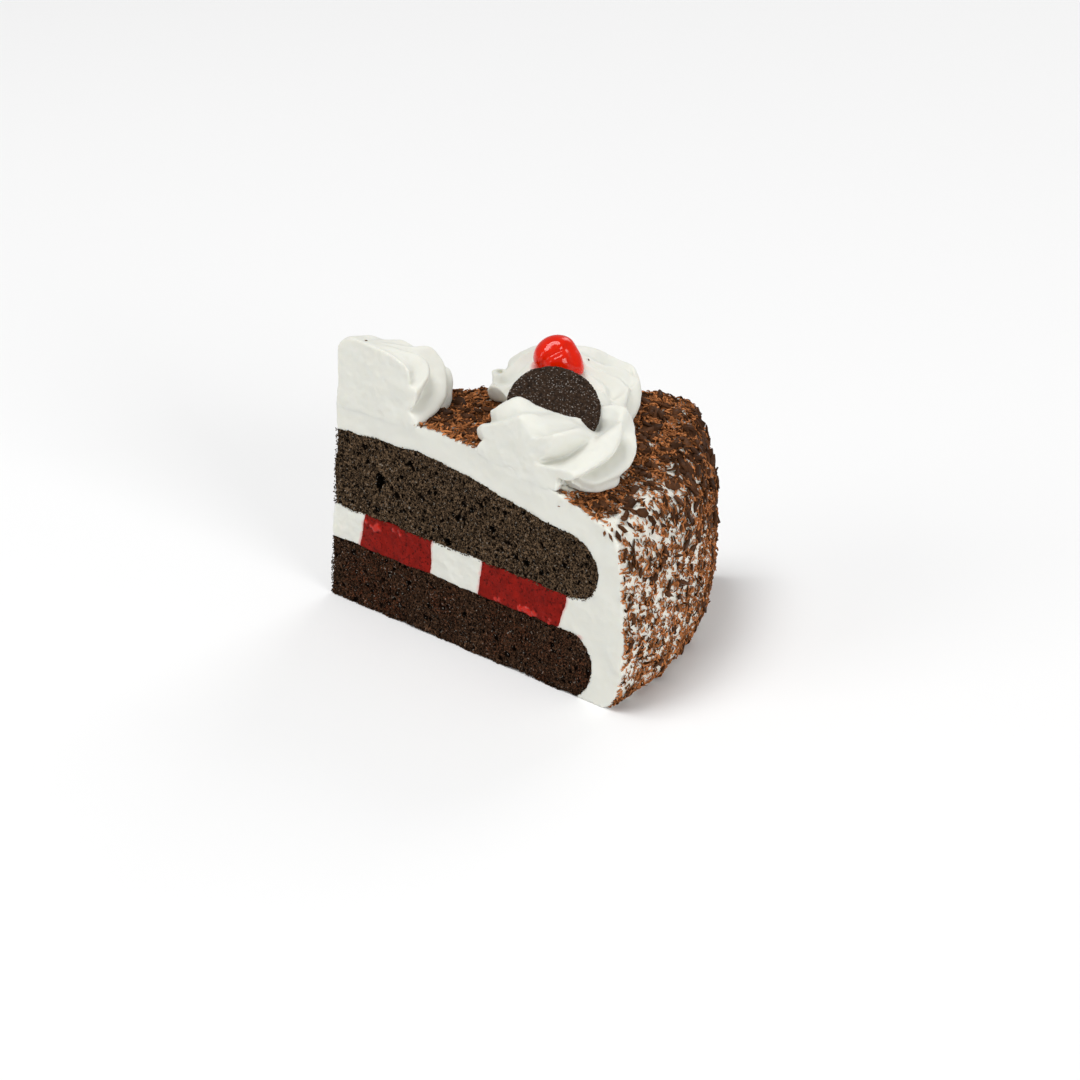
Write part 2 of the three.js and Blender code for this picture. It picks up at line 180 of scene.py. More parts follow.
# ---- Outlines: distances from the cake's axis and heights, in millimetres ----
FILLING_FLOOR = 19.4
FILLING_CEILING = 29.6
RINGS = {  # radii of each ring's sides, at its floor and at its ceiling
    "filling_cream_tip": ((0, 0), (12, 15)),
    "filling_cherry_inner": ((12, 15), (39.8, 40.8)),
    "filling_cream_middle": ((39.8, 40.8), (58.8, 60)),
    "filling_cherry_outer": ((58.8, 60), (88.2, 91.4)),
}


def smooth(points, steps):
    """Points along a smooth curve through the given ones."""
    points = np.array(points, float)
    last = len(points) - 1
    along = np.linspace(0, last, steps + 1)
    first = np.minimum(along.astype(int), last - 1)
    t = (along - first)[:, None]
    before, start = points[np.maximum(first - 1, 0)], points[first]
    end, after = points[first + 1], points[np.minimum(first + 2, last)]
    leave, arrive = (end - before) / 2, (after - start) / 2
    return (
        (2 * start - 2 * end + leave + arrive) * t**3
        + (3 * end - 3 * start - 2 * leave - arrive) * t**2
        + leave * t
        + start
    )


def lower_sponge_rim(grow):
    """The side of the lower sponge, or of one that is larger all round."""
    r = 100 + grow
    rim = [(r - 5, 0), (r - 1.2, 4.5), (r, 10.5), (r - 1, 15.3), (r - 4.5, 18.6 + grow), (r - 9, 19.1 + grow)]
    return smooth(rim, 28)


def upper_sponge_rim(grow):
    r = 102 + grow
    foot = [(r - 9, FILLING_CEILING - grow), (r - 3.4, 31.2 - grow)]
    side = [(r - 0.4, 36.1), (r, 41.6), (r - 2.8, 46.2 + grow)]
    top = [(94, 48.8), (87, 49.6), (78, 50.4), (62, 53.2), (48, 55.3), (34, 55.6), (0, 53.8)]
    return smooth(foot + side + [(x, z + grow) for x, z in top], 60)


def coat_rim():
    wall = [(104.5, 0), (108.4, 3.5), (110.5, 10), (111.4, 20), (111, 34), (110.2, 46), (108.4, 51.3)]
    top = [(105, 54.4), (99, 56.3), (86, 59.9), (70, 62.6), (55, 63.9), (42, 64.3), (22, 63.4), (0, 62.5)]
    return smooth(wall + top, 90)


def lower_sponge_outline(grow=0.0):
    return [(0, 0), *lower_sponge_rim(grow), (0, FILLING_FLOOR + grow)]


def upper_sponge_outline(grow=0.0):
    return [(0, FILLING_CEILING - grow), *upper_sponge_rim(grow)]


def ring_outline(inner, outer):
    lap = OVERLAP / MM
    low, high = FILLING_FLOOR - lap, FILLING_CEILING + lap
    inside = [max(0, radius - lap / 2) for radius in inner]
    outside = [radius + lap / 2 for radius in outer]
    return [(inside[0], low), (outside[0], low), (outside[1], high), (inside[1], high)]


def coat_outline():
    """The coat's outside, and its inside round the two sponges and the filling between them."""
    lap = OVERLAP / MM
    (_, (floor_side, ceiling_side)) = RINGS["filling_cherry_outer"]
    inner = [*upper_sponge_rim(-lap)[::-1], (ceiling_side - lap, FILLING_CEILING + lap)]
    inner += [(floor_side - lap, FILLING_FLOOR - lap), *lower_sponge_rim(-lap)[::-1]]
    return [*coat_rim(), *inner]


def coat_top(distance):
    """The coat's height at a distance from the axis, both in metres, at the front cut."""
    rim = coat_rim()[::-1] * MM
    return np.interp(distance, rim[:, 0], rim[:, 1])


RIM_LIFT = 3.6 * MM  # how much higher the coat's rim stands at the back cut than at the front cut
RIM_PULL = 2.6 * MM  # how much nearer the axis its shoulder lies there


def rim_shift(at):
    """How the coat's rim moves at each point: up and inwards, more and more towards the back cut."""
    across = at[:, :2] - (TIP_X, 0)
    r, height = from_axis(at), at[:, 2] / MM
    back = ramp(np.arctan2(across[:, 1], across[:, 0]), FRONT_CUT / 2, BACK_CUT)
    lift = RIM_LIFT * back * ramp(r / MM, 70, 100) * ramp(height, 34, 54)
    pull = RIM_PULL * back * ramp(r / MM, 88, 104) * ramp(height, 36, 52)
    return np.column_stack([-across * (pull / np.maximum(r, MM))[:, None], lift])


# ---- The knife's two faces ----
def cut_planes():
    """The outward directions of the front cut and of the back cut, which both run through the tip."""
    front = Vector((math.sin(FRONT_CUT), -math.cos(FRONT_CUT), 0))
    rise = sizes().lean * math.sin(BACK_CUT - FRONT_CUT)
    back = Vector((-math.sin(BACK_CUT), math.cos(BACK_CUT), rise)).normalized()
    return front, back


def depths(at):
    """How far inside each cut the points lie."""
    tip = np.array((TIP_X, 0, 0))
    return [-(at - tip) @ np.array(out) for out in cut_planes()]


def cut_away(bm, outward):
    """Cuts a closed mesh through the tip and closes it again."""
    everything = bm.verts[:] + bm.edges[:] + bm.faces[:]
    bmesh.ops.bisect_plane(
        bm, geom=everything, dist=1e-7, plane_co=(TIP_X, 0, 0), plane_no=outward, clear_outer=True
    )
    open_edges = [edge for edge in bm.edges if len(edge.link_faces) == 1]
    bmesh.ops.holes_fill(bm, edges=open_edges, sides=0)


# ---- Meshes ----
def turned(outline, lifted=False):
    """A closed body turned from an outline, from the front cut to the back cut, with a lifted rim or not."""
    spare = math.radians(8)  # past the back cut, which slants
    bm = bmesh.new()
    cosine, sine = math.cos(FRONT_CUT), math.sin(FRONT_CUT)
    corners = [bm.verts.new((TIP_X + r * MM * cosine, r * MM * sine, z * MM)) for r, z in outline]
    face = bm.faces.new(corners)
    bmesh.ops.spin(
        bm,
        geom=[face, *face.edges, *face.verts],
        cent=(TIP_X, 0, 0),
        axis=(0, 0, 1),
        dvec=(0, 0, 0),
        angle=BACK_CUT - FRONT_CUT + spare,
        steps=60,
        use_merge=False,
    )
    bmesh.ops.remove_doubles(bm, verts=bm.verts, dist=1e-6)
    if lifted:
        at = np.array([vert.co for vert in bm.verts])
        r = from_axis(at)
        outer = (r > coat_rim()[0, 0] * MM) | (at[:, 2] > coat_top(r) - 1 * MM)
        for vert, shift in zip(bm.verts, rim_shift(at) * outer[:, None]):
            vert.co += Vector(shift)
    bmesh.ops.recalc_face_normals(bm, faces=bm.faces)
    cut_away(bm, cut_planes()[1])
    bmesh.ops.recalc_face_normals(bm, faces=bm.faces)
    return bm


def mesh_from(bm, name):
    mesh = bpy.data.meshes.new(name)
    bm.to_mesh(mesh)
    bm.free()
    return mesh


def even_grid(bm, grid):
    """The mesh that a voxel remesh makes of a closed bmesh."""
    rough = mesh_from(bm, "rough")
    carrier = bpy.data.objects.new("rough", rough)
    bpy.context.scene.collection.objects.link(carrier)
    remesh = carrier.modifiers.new("Even grid", "REMESH")
    remesh.mode = "VOXEL"
    remesh.voxel_size = grid
    evaluated = carrier.evaluated_get(bpy.context.evaluated_depsgraph_get())
    made = bpy.data.meshes.new_from_object(evaluated)
    bpy.data.objects.remove(carrier)
    bpy.data.meshes.remove(rough)
    return made


def halve_cut_grid(mesh, grid):
    """Halves the grid where the mesh lies on a cut."""
    near = np.minimum(*depths(points_of(mesh))) < 1.2 * grid
    bm = bmesh.new()
    bm.from_mesh(mesh)
    bm.verts.ensure_lookup_table()
    edges = [edge for edge in bm.edges if all(near[vert.index] for vert in edge.verts)]
    bmesh.ops.subdivide_edges(bm, edges=edges, cuts=1, use_grid_fill=True)
    bm.to_mesh(mesh)
    bm.free()


def rows_of(values, field):
    """A number for each of the three axes, for each of a mesh's points."""
    rows = np.empty(len(values) * 3, np.float32)
    values.foreach_get(field, rows)
    return rows.reshape(-1, 3).astype(float)


def points_of(mesh):
    return rows_of(mesh.vertices, "co")


def normals_of(mesh):
    return rows_of(mesh.vertex_normals, "vector")


def move_points(mesh, at):
    mesh.vertices.foreach_set("co", at.astype(np.float32).ravel())
    mesh.update()


def mark_points(mesh, name, values):
    """Stores a number for each point, which the material reads."""
    attribute = mesh.attributes.new(name, "FLOAT", "POINT")
    attribute.data.foreach_set("value", np.asarray(values, np.float32))


def add_piece(name, mesh, material, nodes):
    """Shows a finished mesh as a piece of the cake, in the place of the named nodes."""
    mesh.name = name
    mesh.materials.clear()
    mesh.materials.append(material)
    mesh.polygons.foreach_set("use_smooth", np.ones(len(mesh.polygons), bool))
    made = bpy.data.objects.new(name, mesh)
    bpy.context.scene.collection.objects.link(made)
    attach(made, "root")
    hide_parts(*nodes)


# ---- Unevenness ----
def noise_at(at, size, seed):
    """Smooth noise from -1 to 1 with lumps of about that size."""
    return np.array([noise.noise(point) for point in (at / size + seed).tolist()])


def cells_at(at, size, seed):
    """The distance to the nearest of scattered points, from 0 at a point to about 1 between them."""
    nearest = [noise.voronoi(point)[0][0] for point in (at / size + seed).tolist()]
    return np.clip(np.array(nearest), 0, 1)


WANDERINGS = ((7 * MM, 1.0), (2.2 * MM, 0.3))  # lengths of the waves, and shares of the unevenness
WANDER_SEED = 4


def settle(mesh):
    """Lets a layer's seams wander. Each point moves alike in every layer, so that the seams stay shut."""
    noise.seed_set(WANDER_SEED)  # without it, noise_vector would differ from run to run
    at = points_of(mesh)
    shift = np.zeros_like(at)
    for size, share in WANDERINGS:
        lumps = [noise.noise_vector(point) for point in (at / size).tolist()]
        shift += np.array([tuple(lump) for lump in lumps]) * share
    at += shift * sizes().unevenness
    at[:, 2] = np.maximum(at[:, 2], 0)
    move_points(mesh, at)


# ---- Sponges ----
HOLES = {  # along the front cut, height, radius, in millimetres
    "sponge_upper": [
        (21, 43, 1.9), (20.4, 40.8, 1.3), (47, 31.6, 1.5), (33, 51, 1.2), (64, 41, 1.2), (76.5, 35, 1.2),
        (16, 34, 0.9), (19.5, 33, 1.0), (82, 33.6, 1.0), (29.5, 46, 0.8), (56, 44, 0.9), (90, 39, 0.8),
    ],
    "sponge_lower": [(31, 13.5, 0.9), (53, 11, 0.9), (72, 6.5, 0.8), (12, 7.5, 0.8), (86, 13, 0.9)],
}
PORE_RADII = (0.2, 1.1)  # smallest and largest, in millimetres
PORE_JITTER = 0.55  # of the spacing, either way
WALL_HEIGHT = 0.45 * MM  # of the walls between pores
GRAIN_HEIGHT = 0.15 * MM  # of the fine grain on them
SWELL_HEIGHT = 0.12 * MM  # of the broad swells of a cut
SET_BACK = 0.15 * MM  # how far a sponge's cut lies behind the cream's


def pores(seed, depth_share):
    """Where the sponge's pores are on a cut, as places along it and up it with their radii and depths."""
    spacing = sizes().pore_spacing
    random = np.random.RandomState(seed)
    columns, rows = int(RADIUS / spacing), int(60 * MM / spacing)
    u, z = np.meshgrid(np.arange(columns) * spacing, np.arange(rows) * spacing)
    u = u.ravel() + random.uniform(-PORE_JITTER, PORE_JITTER, u.size) * spacing
    z = z.ravel() + random.uniform(-PORE_JITTER, PORE_JITTER, z.size) * spacing
    radius = np.clip(random.lognormal(-1.0, 0.4, u.size), *PORE_RADII) * MM
    return np.stack([u, z, radius, radius * random.uniform(0.7, 1.3, u.size) * depth_share], axis=1)


def sponge_pores(node, side, depth_share):
    """The pores of one cut of a sponge. The front cut has the named holes as well."""
    found = pores(11 + side + len(node), depth_share)
    if side == 0:
        named = np.array(HOLES[node]) * MM
        found = np.vstack([found, np.column_stack([named, named[:, 2] * 1.8])])
    return found


def sink_pores(along, height, found):
    """How deep the pores are at each point of a cut. Each is a round bowl."""
    sunk = np.zeros(len(along))
    order = np.argsort(along)
    in_order = along[order]
    for u, z, radius, depth in found:
        first, last = np.searchsorted(in_order, (u - radius, u + radius))
        near = order[first:last]
        share = ((along[near] - u) ** 2 + (height[near] - z) ** 2) / radius**2
        bowl = depth * np.sqrt(np.clip(1 - share, 0, 1))
        sunk[near] = np.maximum(sunk[near], bowl)
    return sunk


def crumb(mesh, node, depth_share, cell):
    """Opens the pores of a sponge on its cuts and raises the walls between them, and marks the walls lighter
    and the pores darker as painted light and shade.
    """
    at, out = points_of(mesh), normals_of(mesh)
    grid = sizes().coarse
    height = at[:, 2]
    along = from_axis(at)
    sunk = np.zeros(len(at))
    raised = np.zeros(len(at))
    for side, depth in enumerate(depths(at)):
        facing = out @ np.array(cut_planes()[side]) > 0.5
        on_cut = np.flatnonzero((depth < 1.6 * grid) & facing)
        sunk[on_cut] = sink_pores(along[on_cut], height[on_cut], sponge_pores(node, side, depth_share))
        uneven = at[on_cut] + 0.4 * MM * noise_at(at[on_cut], 1.3 * MM, 5.0)[:, None]
        walls = cells_at(uneven, cell, 0.0) - 0.5
        small = noise_at(at[on_cut], 0.5 * MM, 3.0)
        raised[on_cut] = WALL_HEIGHT * walls + GRAIN_HEIGHT * small
    broad = SWELL_HEIGHT * noise_at(at, 3.4 * MM, 7.0) * (raised != 0)
    move_points(mesh, at + out * (raised + broad - sunk - SET_BACK * (raised != 0))[:, None])
    # Painted light and shade: the raised walls are marked lighter and the sunk pores darker, and the material
    # colours them so.
    lit = 0.55 + raised / (0.5 * MM) - sunk / (0.5 * MM)
    mark_points(mesh, "crumb", np.clip(lit, 0, 1))


TORN_HEIGHT = 3.2 * MM  # of the torn edge along a sponge's foot
TEAR_OUT = 0.9 * MM
TEAR_UP = 0.8 * MM


def ragged_foot(mesh):
    """Tears the lower sponge's bottom edge on its cuts."""
    at, out = points_of(mesh), normals_of(mesh)
    low = 1 - ramp(at[:, 2], 0, TORN_HEIGHT)
    tear = noise_at(at, 1.6 * MM, 21.0) + 0.6 * noise_at(at, 0.8 * MM, 23.0)
    flat = out * np.array((1, 1, 0))
    at += flat * (low * tear * TEAR_OUT)[:, None]
    at[:, 2] = np.maximum(at[:, 2] + low * TEAR_UP * np.maximum(0, noise_at(at, 2.3 * MM, 25.0)), 0)
    move_points(mesh, at)


def within(outline, r, z):
    """Whether places lie inside a closed outline."""
    inside = np.zeros(len(r), bool)
    corners = np.array(outline, float)
    for (r1, z1), (r2, z2) in zip(corners, np.roll(corners, -1, axis=0)):
        if z1 != z2:
            inside ^= ((z1 > z) != (z2 > z)) & (r < r1 + (z - z1) * (r2 - r1) / (z2 - z1))
    return inside


CRUMB_SPANS = ((0.8, 1.3), (0.6, 1), (0.5, 0.9))  # shares of a crumb's size: its length, width and height
CRUMBED = (-4 * MM, 104 * MM)  # from a little before the tip to past the sponges' rims


def crumbs_on_cuts(name, node, outline, seed, material):
    """Crumbs that the knife left all over a sponge's cuts and just past their edges."""
    random = np.random.RandomState(seed)
    floor, ceiling = np.array(outline)[:, 1].min(), np.array(outline)[:, 1].max()
    centres, axes = [], []
    for side, outward in enumerate(cut_planes()):
        level = np.array(Vector((0, 0, 1)).cross(outward).normalized())
        up = np.cross(np.array(outward), level)
        level *= math.copysign(1, level[0])
        count = amounts().crumbs * 2
        height = random.uniform(floor, ceiling, count) * MM / up[2]
        along = random.uniform(*CRUMBED, count)
        at = np.array((TIP_X, 0, 0)) + level * along[:, None] + up * height[:, None]
        r, z = from_axis(at) / MM, at[:, 2] / MM
        kept = within(outline, r, z) & (depths(at)[1 - side] > -0.05 * MM)
        # The larger pores stay open.
        for u, hole_z, radius, _ in sponge_pores(node, side, 1.0):
            if radius > 0.5 * MM:
                kept &= (np.hypot(r * MM - u, z * MM - hole_z) > radius) | (along < 0)
        found = at[kept] + np.array(outward) * random.uniform(-0.2, 0.12, kept.sum())[:, None] * MM
        centres.append(found)
        axes.append(np.repeat(np.stack([level, up, np.array(outward)], axis=1)[None], len(found), axis=0))
    centres, axes = np.vstack(centres), np.vstack(axes)
    turn = random.uniform(0, 2 * math.pi, len(centres))
    first, second = rotated(axes[:, :, 0], axes[:, :, 1], turn)
    frames = np.stack([first, second, axes[:, :, 2]], axis=2)
    size = random.lognormal(-0.9, 0.3, len(centres))[:, None] * MM
    scales = size * np.stack([random.uniform(*span, len(centres)) for span in CRUMB_SPANS], axis=1)
    tones = np.clip(random.normal(0.5, 0.3, len(centres)), 0, 1)
    centres[:, 2] = np.maximum(centres[:, 2], scales[:, 0] * 0.6)
    mesh = joined(name, [grain(300 + k) for k in range(6)], centres, frames, scales, tones)
    settle(mesh)
    add_piece(name, mesh, material, [node])


class CAKE_OT_sponges(bpy.types.Operator):
    """Bakes the two chocolate sponges"""

    bl_idname = "cake.sponges"
    bl_label = "Sponges"

    def execute(self, context):
        look = colours()
        upper = even_grid(turned(upper_sponge_outline()), sizes().coarse)
        lower = even_grid(turned(lower_sponge_outline()), sizes().coarse)
        for mesh in (upper, lower):
            halve_cut_grid(mesh, sizes().coarse)
            settle(mesh)
        crumb(upper, "sponge_upper", 1.0, 1.0 * MM)
        crumb(lower, "sponge_lower", 0.6, 0.95 * MM)
        ragged_foot(lower)
        dry = sponge_finish("Upper sponge", look.crumb_light, look.crumb_dark_and_pore_shade, look.crumb_light)
        moist = sponge_finish("Lower sponge", look.moist_light, look.moist_dark_and_pore_shade, look.soaked)
        add_piece("upper_sponge_crumb", upper, dry, ["sponge_upper"])
        add_piece("lower_sponge_crumb", lower, moist, ["sponge_lower"])
        dry = crumb_finish("Upper crumbs", look.crumb_light, look.crumb_dark_and_pore_shade)
        moist = crumb_finish("Lower crumbs", look.moist_light, look.moist_dark_and_pore_shade)
        grow = 0.15  # how far the crumbs lie over a sponge's outline, in millimetres
        upper, lower = upper_sponge_outline(grow), lower_sponge_outline(grow)
        crumbs_on_cuts("upper_sponge_grains", "sponge_upper", upper, 5, dry)
        crumbs_on_cuts("lower_sponge_grains", "sponge_lower", lower, 6, moist)
        return {"FINISHED"}


# ---- Fillings ----
SMEAR = (96, 18.5)  # radius and height of a pink smear on the front cut
STAIN_REACH = 0.9  # how far juice runs into cream, in millimetres
FAR = 99.0  # beyond every reach that it is compared with


def stain(at):
    """How far cherry juice has stained the cream, from the distance to the cherry filling's sides."""
    r, z = from_axis(at) / MM, at[:, 2] / MM
    rise = (z - FILLING_FLOOR) / (FILLING_CEILING - FILLING_FLOOR)
    reach = np.full(len(at), FAR)
    for inner, outer in (RINGS["filling_cherry_inner"], RINGS["filling_cherry_outer"]):
        inside = inner[0] + (inner[1] - inner[0]) * rise - r
        outside = r - outer[0] - (outer[1] - outer[0]) * rise
        beside = np.maximum(np.maximum(inside, outside), 0)
        above = np.maximum(z - FILLING_CEILING, 0) + np.maximum(FILLING_FLOOR - z, 0)
        reach = np.minimum(reach, np.hypot(beside, above))
    smear = np.hypot((r - SMEAR[0]) / 2, z - SMEAR[1])
    reach = np.where(at[:, 1] < 0, np.minimum(reach, smear), reach)
    wander = 0.45 * noise_at(at, 1.4 * MM, 31.0)
    return np.clip(1 - (reach + wander) / STAIN_REACH, 0, 1)


WET = [  # clusters of wet beads on the front cut: along it, height, reach along it, biggest radius, number
    (19.5, 28.0, 3.2, 1.1, 12), (27.5, 28.6, 4.0, 0.7, 8), (66.5, 20.0, 1.6, 0.8, 5),
    (77.0, 20.8, 3.0, 1.1, 12), (86.0, 20.3, 1.2, 0.7, 4), (47.0, 20.0, 2.0, 0.5, 3),
]


def wet_beads():
    """The beads of each cluster: along the front cut, height and radius, in millimetres."""
    random = np.random.RandomState(45)
    beads = []
    for u, z, reach, biggest, count in WET:
        along = random.normal(u, reach / 2, count)
        height = random.normal(z, biggest * 0.6, count)
        beads += zip(along, height, biggest * random.uniform(0.35, 1, count))
    return beads


def fill(node, bulge):
    """The mesh of one ring of filling, whose cut bulges or sinks a little."""
    mesh = even_grid(turned(ring_outline(*RINGS[node])), sizes().fine)
    settle(mesh)
    at, out = points_of(mesh), normals_of(mesh)
    cut = np.minimum(*depths(at)) < sizes().fine * 2
    relief = 0.16 * noise_at(at, 2.6 * MM, 41.0) + 0.08 * noise_at(at, 0.9 * MM, 43.0)
    lift = (relief + bulge) * MM * cut
    if "cherry" in node:
        along = from_axis(at)
        front = depths(at)[0] < sizes().fine * 2
        for u, z, radius in wet_beads():
            share = ((along - u * MM) ** 2 + (at[:, 2] - z * MM) ** 2) / (radius * MM) ** 2
            lift = np.maximum(lift, front * 0.5 * radius * MM * np.sqrt(np.clip(1 - share, 0, 1)))
        mark_points(mesh, "wet", np.clip(lift / (0.4 * MM), 0, 1))
    else:
        mark_points(mesh, "stain", stain(at))
    move_points(mesh, at + out * lift[:, None])
    return mesh


class CAKE_OT_fillings(bpy.types.Operator):
    """Spreads the rings of cream and cherry filling between the sponges"""

    bl_idname = "cake.fillings"
    bl_label = "Fillings"

    def execute(self, context):
        cherry = filling_finish()
        cream = cream_finish("Filling cream")
        for node in RINGS:
            if "cherry" in node:
                add_piece(node + "_set", fill(node, -0.05), cherry, [node])
            else:
                add_piece(node + "_whipped", fill(node, -0.02), cream, [node])
        return {"FINISHED"}


# ---- Coat ----
def coat_relief(at):
    """How far the coat's outside stands out or in at each point."""
    broad = noise_at(at, 9 * MM, 51.0) + 0.6 * noise_at(at, 3.5 * MM, 53.0)
    return sizes().cream_relief * broad + 0.12 * MM * noise_at(at, 1.4 * MM, 55.0)


def cut_relief(at):
    """The knife's drag marks on cut cream, alike on the coat and on the rosettes."""
    drawn = at * np.array((1, 1, 3.0))
    return 0.09 * MM * noise_at(drawn, 7 * MM, 61.0) + 0.04 * MM * noise_at(at, 1.3 * MM, 63.0)


def outside_share(at, out):
    """1 on the coat's top and wall, and 0 on the cuts, the foot and the hidden inside."""
    r = from_axis(at)
    skin = np.minimum(coat_top(r) - at[:, 2], (RADIUS + 0.4 * MM) - r)
    facing = np.maximum(*[out @ np.array(plane) for plane in cut_planes()])
    off_cut = 1 - ramp(facing, 0.35, 0.75)
    off_foot = 1 - ramp(-out[:, 2], 0.5, 0.8)
    return (1 - ramp(skin, 2.5 * MM, 4.5 * MM)) * off_cut * off_foot


class CAKE_OT_coat(bpy.types.Operator):
    """Spreads the coat of cream over the top and the outer wall"""

    bl_idname = "cake.coat"
    bl_label = "Coat of cream"

    def execute(self, context):
        mesh = even_grid(turned(coat_outline(), lifted=True), sizes().coarse)
        at, out = points_of(mesh), normals_of(mesh)
        outside = outside_share(at, out)
        cut = np.minimum(*depths(at)) < sizes().coarse
        lift = coat_relief(at) * outside + cut_relief(at) * cut
        mark_points(mesh, "stain", stain(at) * cut)
        mark_points(mesh, "dusty", outside)
        # Painted shade: where shavings lie thick, this mark darkens the cream to brown as the shade between
        # them.
        mark_points(mesh, "cocoa", outside * ramp(cover(at), 0.66, 1))
        move_points(mesh, at + out * lift[:, None])
        settle(mesh)
        add_piece("coat_cream", mesh, cream_finish("Coat cream", dusty=True), ["coat_with_flakes"])
        return {"FINISHED"}


# ---- Rosettes ----
class Rosette:
    """A piped swirl, at x and y from the tip, in millimetres.

    tops are shares of its height at TOP_RADII, tilt is how steeply its peak rises towards a compass angle,
    and lean is how far the peak is moved. Each row of crests is one ridge: its compass angles at
    STATIONS, in degrees.
    """

    def __init__(self, x, y, radius, height, tops, tilt, lean, crests):
        self.x, self.y = x * MM, y * MM
        self.radius, self.height = radius * MM, height * MM
        self.tops = tops
        self.tilt = tilt
        self.lean = lean
        self.crests = crests


STATIONS = (0.25, 0.55, 0.75, 1.0)  # shares of the way down a rosette, from its peak to its foot
TOP_RADII = (0, 0.3, 0.55, 0.73, 0.87)  # shares of its radius
SKIRT = [(0.96, 0.44), (1, 0.26), (0.99, 0.08), (0.93, -0.06), (0.84, -0.22), (0, -0.3)]
ROSETTES = {
    "rosette_tip": Rosette(
        12.8, -1, 25, 20.6, (0.98, 1, 0.94, 0.85, 0.68), (-0.14, 60), (1, -5),
        [
            (-115, -108, -128, -145), (-70, -64, -92, -115), (-22, -30, -66, -95), (2, -2, -36, -64),
            (24, 32, 10, -32), (48, 58, 38, -2), (90, 100, 84, 45), (145, 150, 135, 105),
        ],
    ),
    "rosette_front": Rosette(
        74.5, -16.5, 22.4, 18, (0.72, 0.79, 0.88, 0.82, 0.64), (-0.3, 0), (2.8, 1),
        [
            (-165, -168, -198, -222), (-112, -135, -168, -195), (-38, -82, -136, -162), (25, -5, -28, -100),
            (45, 28, 30, -20), (75, 68, 62, 28), (110, 108, 98, 62), (152, 152, 130, 98),
        ],
    ),
    "rosette_back": Rosette(
        66.8, 15, 21.8, 20.6, (0.82, 0.82, 0.71, 0.59, 0.47), (-0.1, 0), (-1.5, 0),
        [
            (-165, -150, -178, -214), (-122, -122, -146, -180), (-85, -78, -98, -124), (-48, -31, -48, -72),
            (-28, -5, -17, -35), (-2, 18, 12, -5), (60, 56, 36, 18), (100, 92, 70, 50), (135, 130, 108, 84),
            (165, 170, 144, 116),
        ],
    ),
}
RIDGE_DEPTH = 0.26  # of the distance between two ridges
DROOP = (5.4 * MM, -2.2 * MM)  # where the swirl at the slice's tip sags, from the tip
DROOP_DEPTH = 4 * MM
DROOP_REACH = 6 * MM
SOFT_ROUNDS = 8  # of smoothing


def ridge_shape(across, down):
    """1 on a crest and 0 in the crease between two. Ridges are narrow at the peak and broad at the foot."""
    from_crest = np.minimum(across, 1 - across) * 2
    narrow = 1 - np.sin(math.pi / 2 * from_crest) ** 1.35
    broad = 1 - from_crest**2.6
    return narrow + (broad - narrow) * np.clip(down, 0, 1) ** 2


def piped(place):
    """The closed body of one rosette, with its ridges, before the knife."""
    outline = [*zip(TOP_RADII, place.tops), *SKIRT]
    profile = smooth(np.array(outline) * (place.radius, place.height), 400)
    lengths = np.hypot(*np.diff(profile, axis=0).T)
    travelled = np.append(0, np.cumsum(lengths)) / lengths.sum()
    slopes = np.gradient(profile, travelled, axis=0)
    slopes /= np.hypot(*slopes.T)[:, None]
    foot = travelled[np.flatnonzero(profile[:, 1] > 0)[-1]]

    bm = bmesh.new()
    ridges = len(place.crests)
    bmesh.ops.create_uvsphere(bm, u_segments=24 * ridges, v_segments=110, radius=1)
    at = np.array([vert.co for vert in bm.verts])
    along = np.arccos(np.clip(at[:, 2], -1, 1)) / math.pi
    ring = [np.interp(along, travelled, profile[:, axis]) for axis in (0, 1)]
    slope = [np.interp(along, travelled, slopes[:, axis]) for axis in (0, 1)]

    # Each column of points keeps its place between two crests all the way down.
    column = (np.arctan2(at[:, 1], at[:, 0]) / (2 * math.pi)) % 1 * ridges
    first = np.minimum(column.astype(int), ridges - 1)
    across = column - first
    down = along / foot
    crests = np.radians([*place.crests, np.add(place.crests[0], 360)])
    curves = [smooth(np.column_stack([STATIONS, crest]), 60).T for crest in crests]
    angles = np.array([np.interp(down, *curve) for curve in curves])
    start = angles[first, np.arange(len(at))]
    gap = angles[first + 1, np.arange(len(at))] - start
    angle = start + across * gap

    sunk = RIDGE_DEPTH * ring[0] * gap * np.minimum(1, 2.2 * down) * (1 - ridge_shape(across, down))
    r = np.maximum(0, ring[0] + slope[1] * sunk)
    z = ring[1] - slope[0] * sunk
    risen = np.clip(ring[1] / place.height, 0, 1)
    x, y = r * np.cos(angle), r * np.sin(angle)
    inner = 1 - ramp(ring[0] / place.radius, 0.45, 0.85)
    steepness, towards = place.tilt
    uphill = x * math.cos(math.radians(towards)) + y * math.sin(math.radians(towards))
    z += steepness * inner * np.where(uphill > 0, uphill, uphill / 2)
    x += place.lean[0] * MM * risen**2 + place.x
    y += place.lean[1] * MM * risen**2 + place.y
    from_tip = np.hypot(x - DROOP[0], y - DROOP[1])
    z -= DROOP_DEPTH * risen**2 * np.maximum(0, 1 - from_tip / DROOP_REACH) ** 2
    base = coat_top(math.hypot(place.x, place.y))
    moved = np.stack([x + TIP_X, y, z + base], axis=1)
    soft = 0.35 * MM * noise_at(moved, 9 * MM, 71.0) + 0.08 * MM * noise_at(moved, 3 * MM, 73.0)
    moved += (moved - moved.mean(axis=0)) * (soft / place.radius)[:, None]
    for vert, position in zip(bm.verts, moved):
        vert.co = position
    bmesh.ops.recalc_face_normals(bm, faces=bm.faces)
    return bm


def sliced(bm):
    """Cuts a rosette along both of the knife's faces."""
    for outward in cut_planes():
        cut_away(bm, outward)
    bmesh.ops.recalc_face_normals(bm, faces=bm.faces)
    return bm


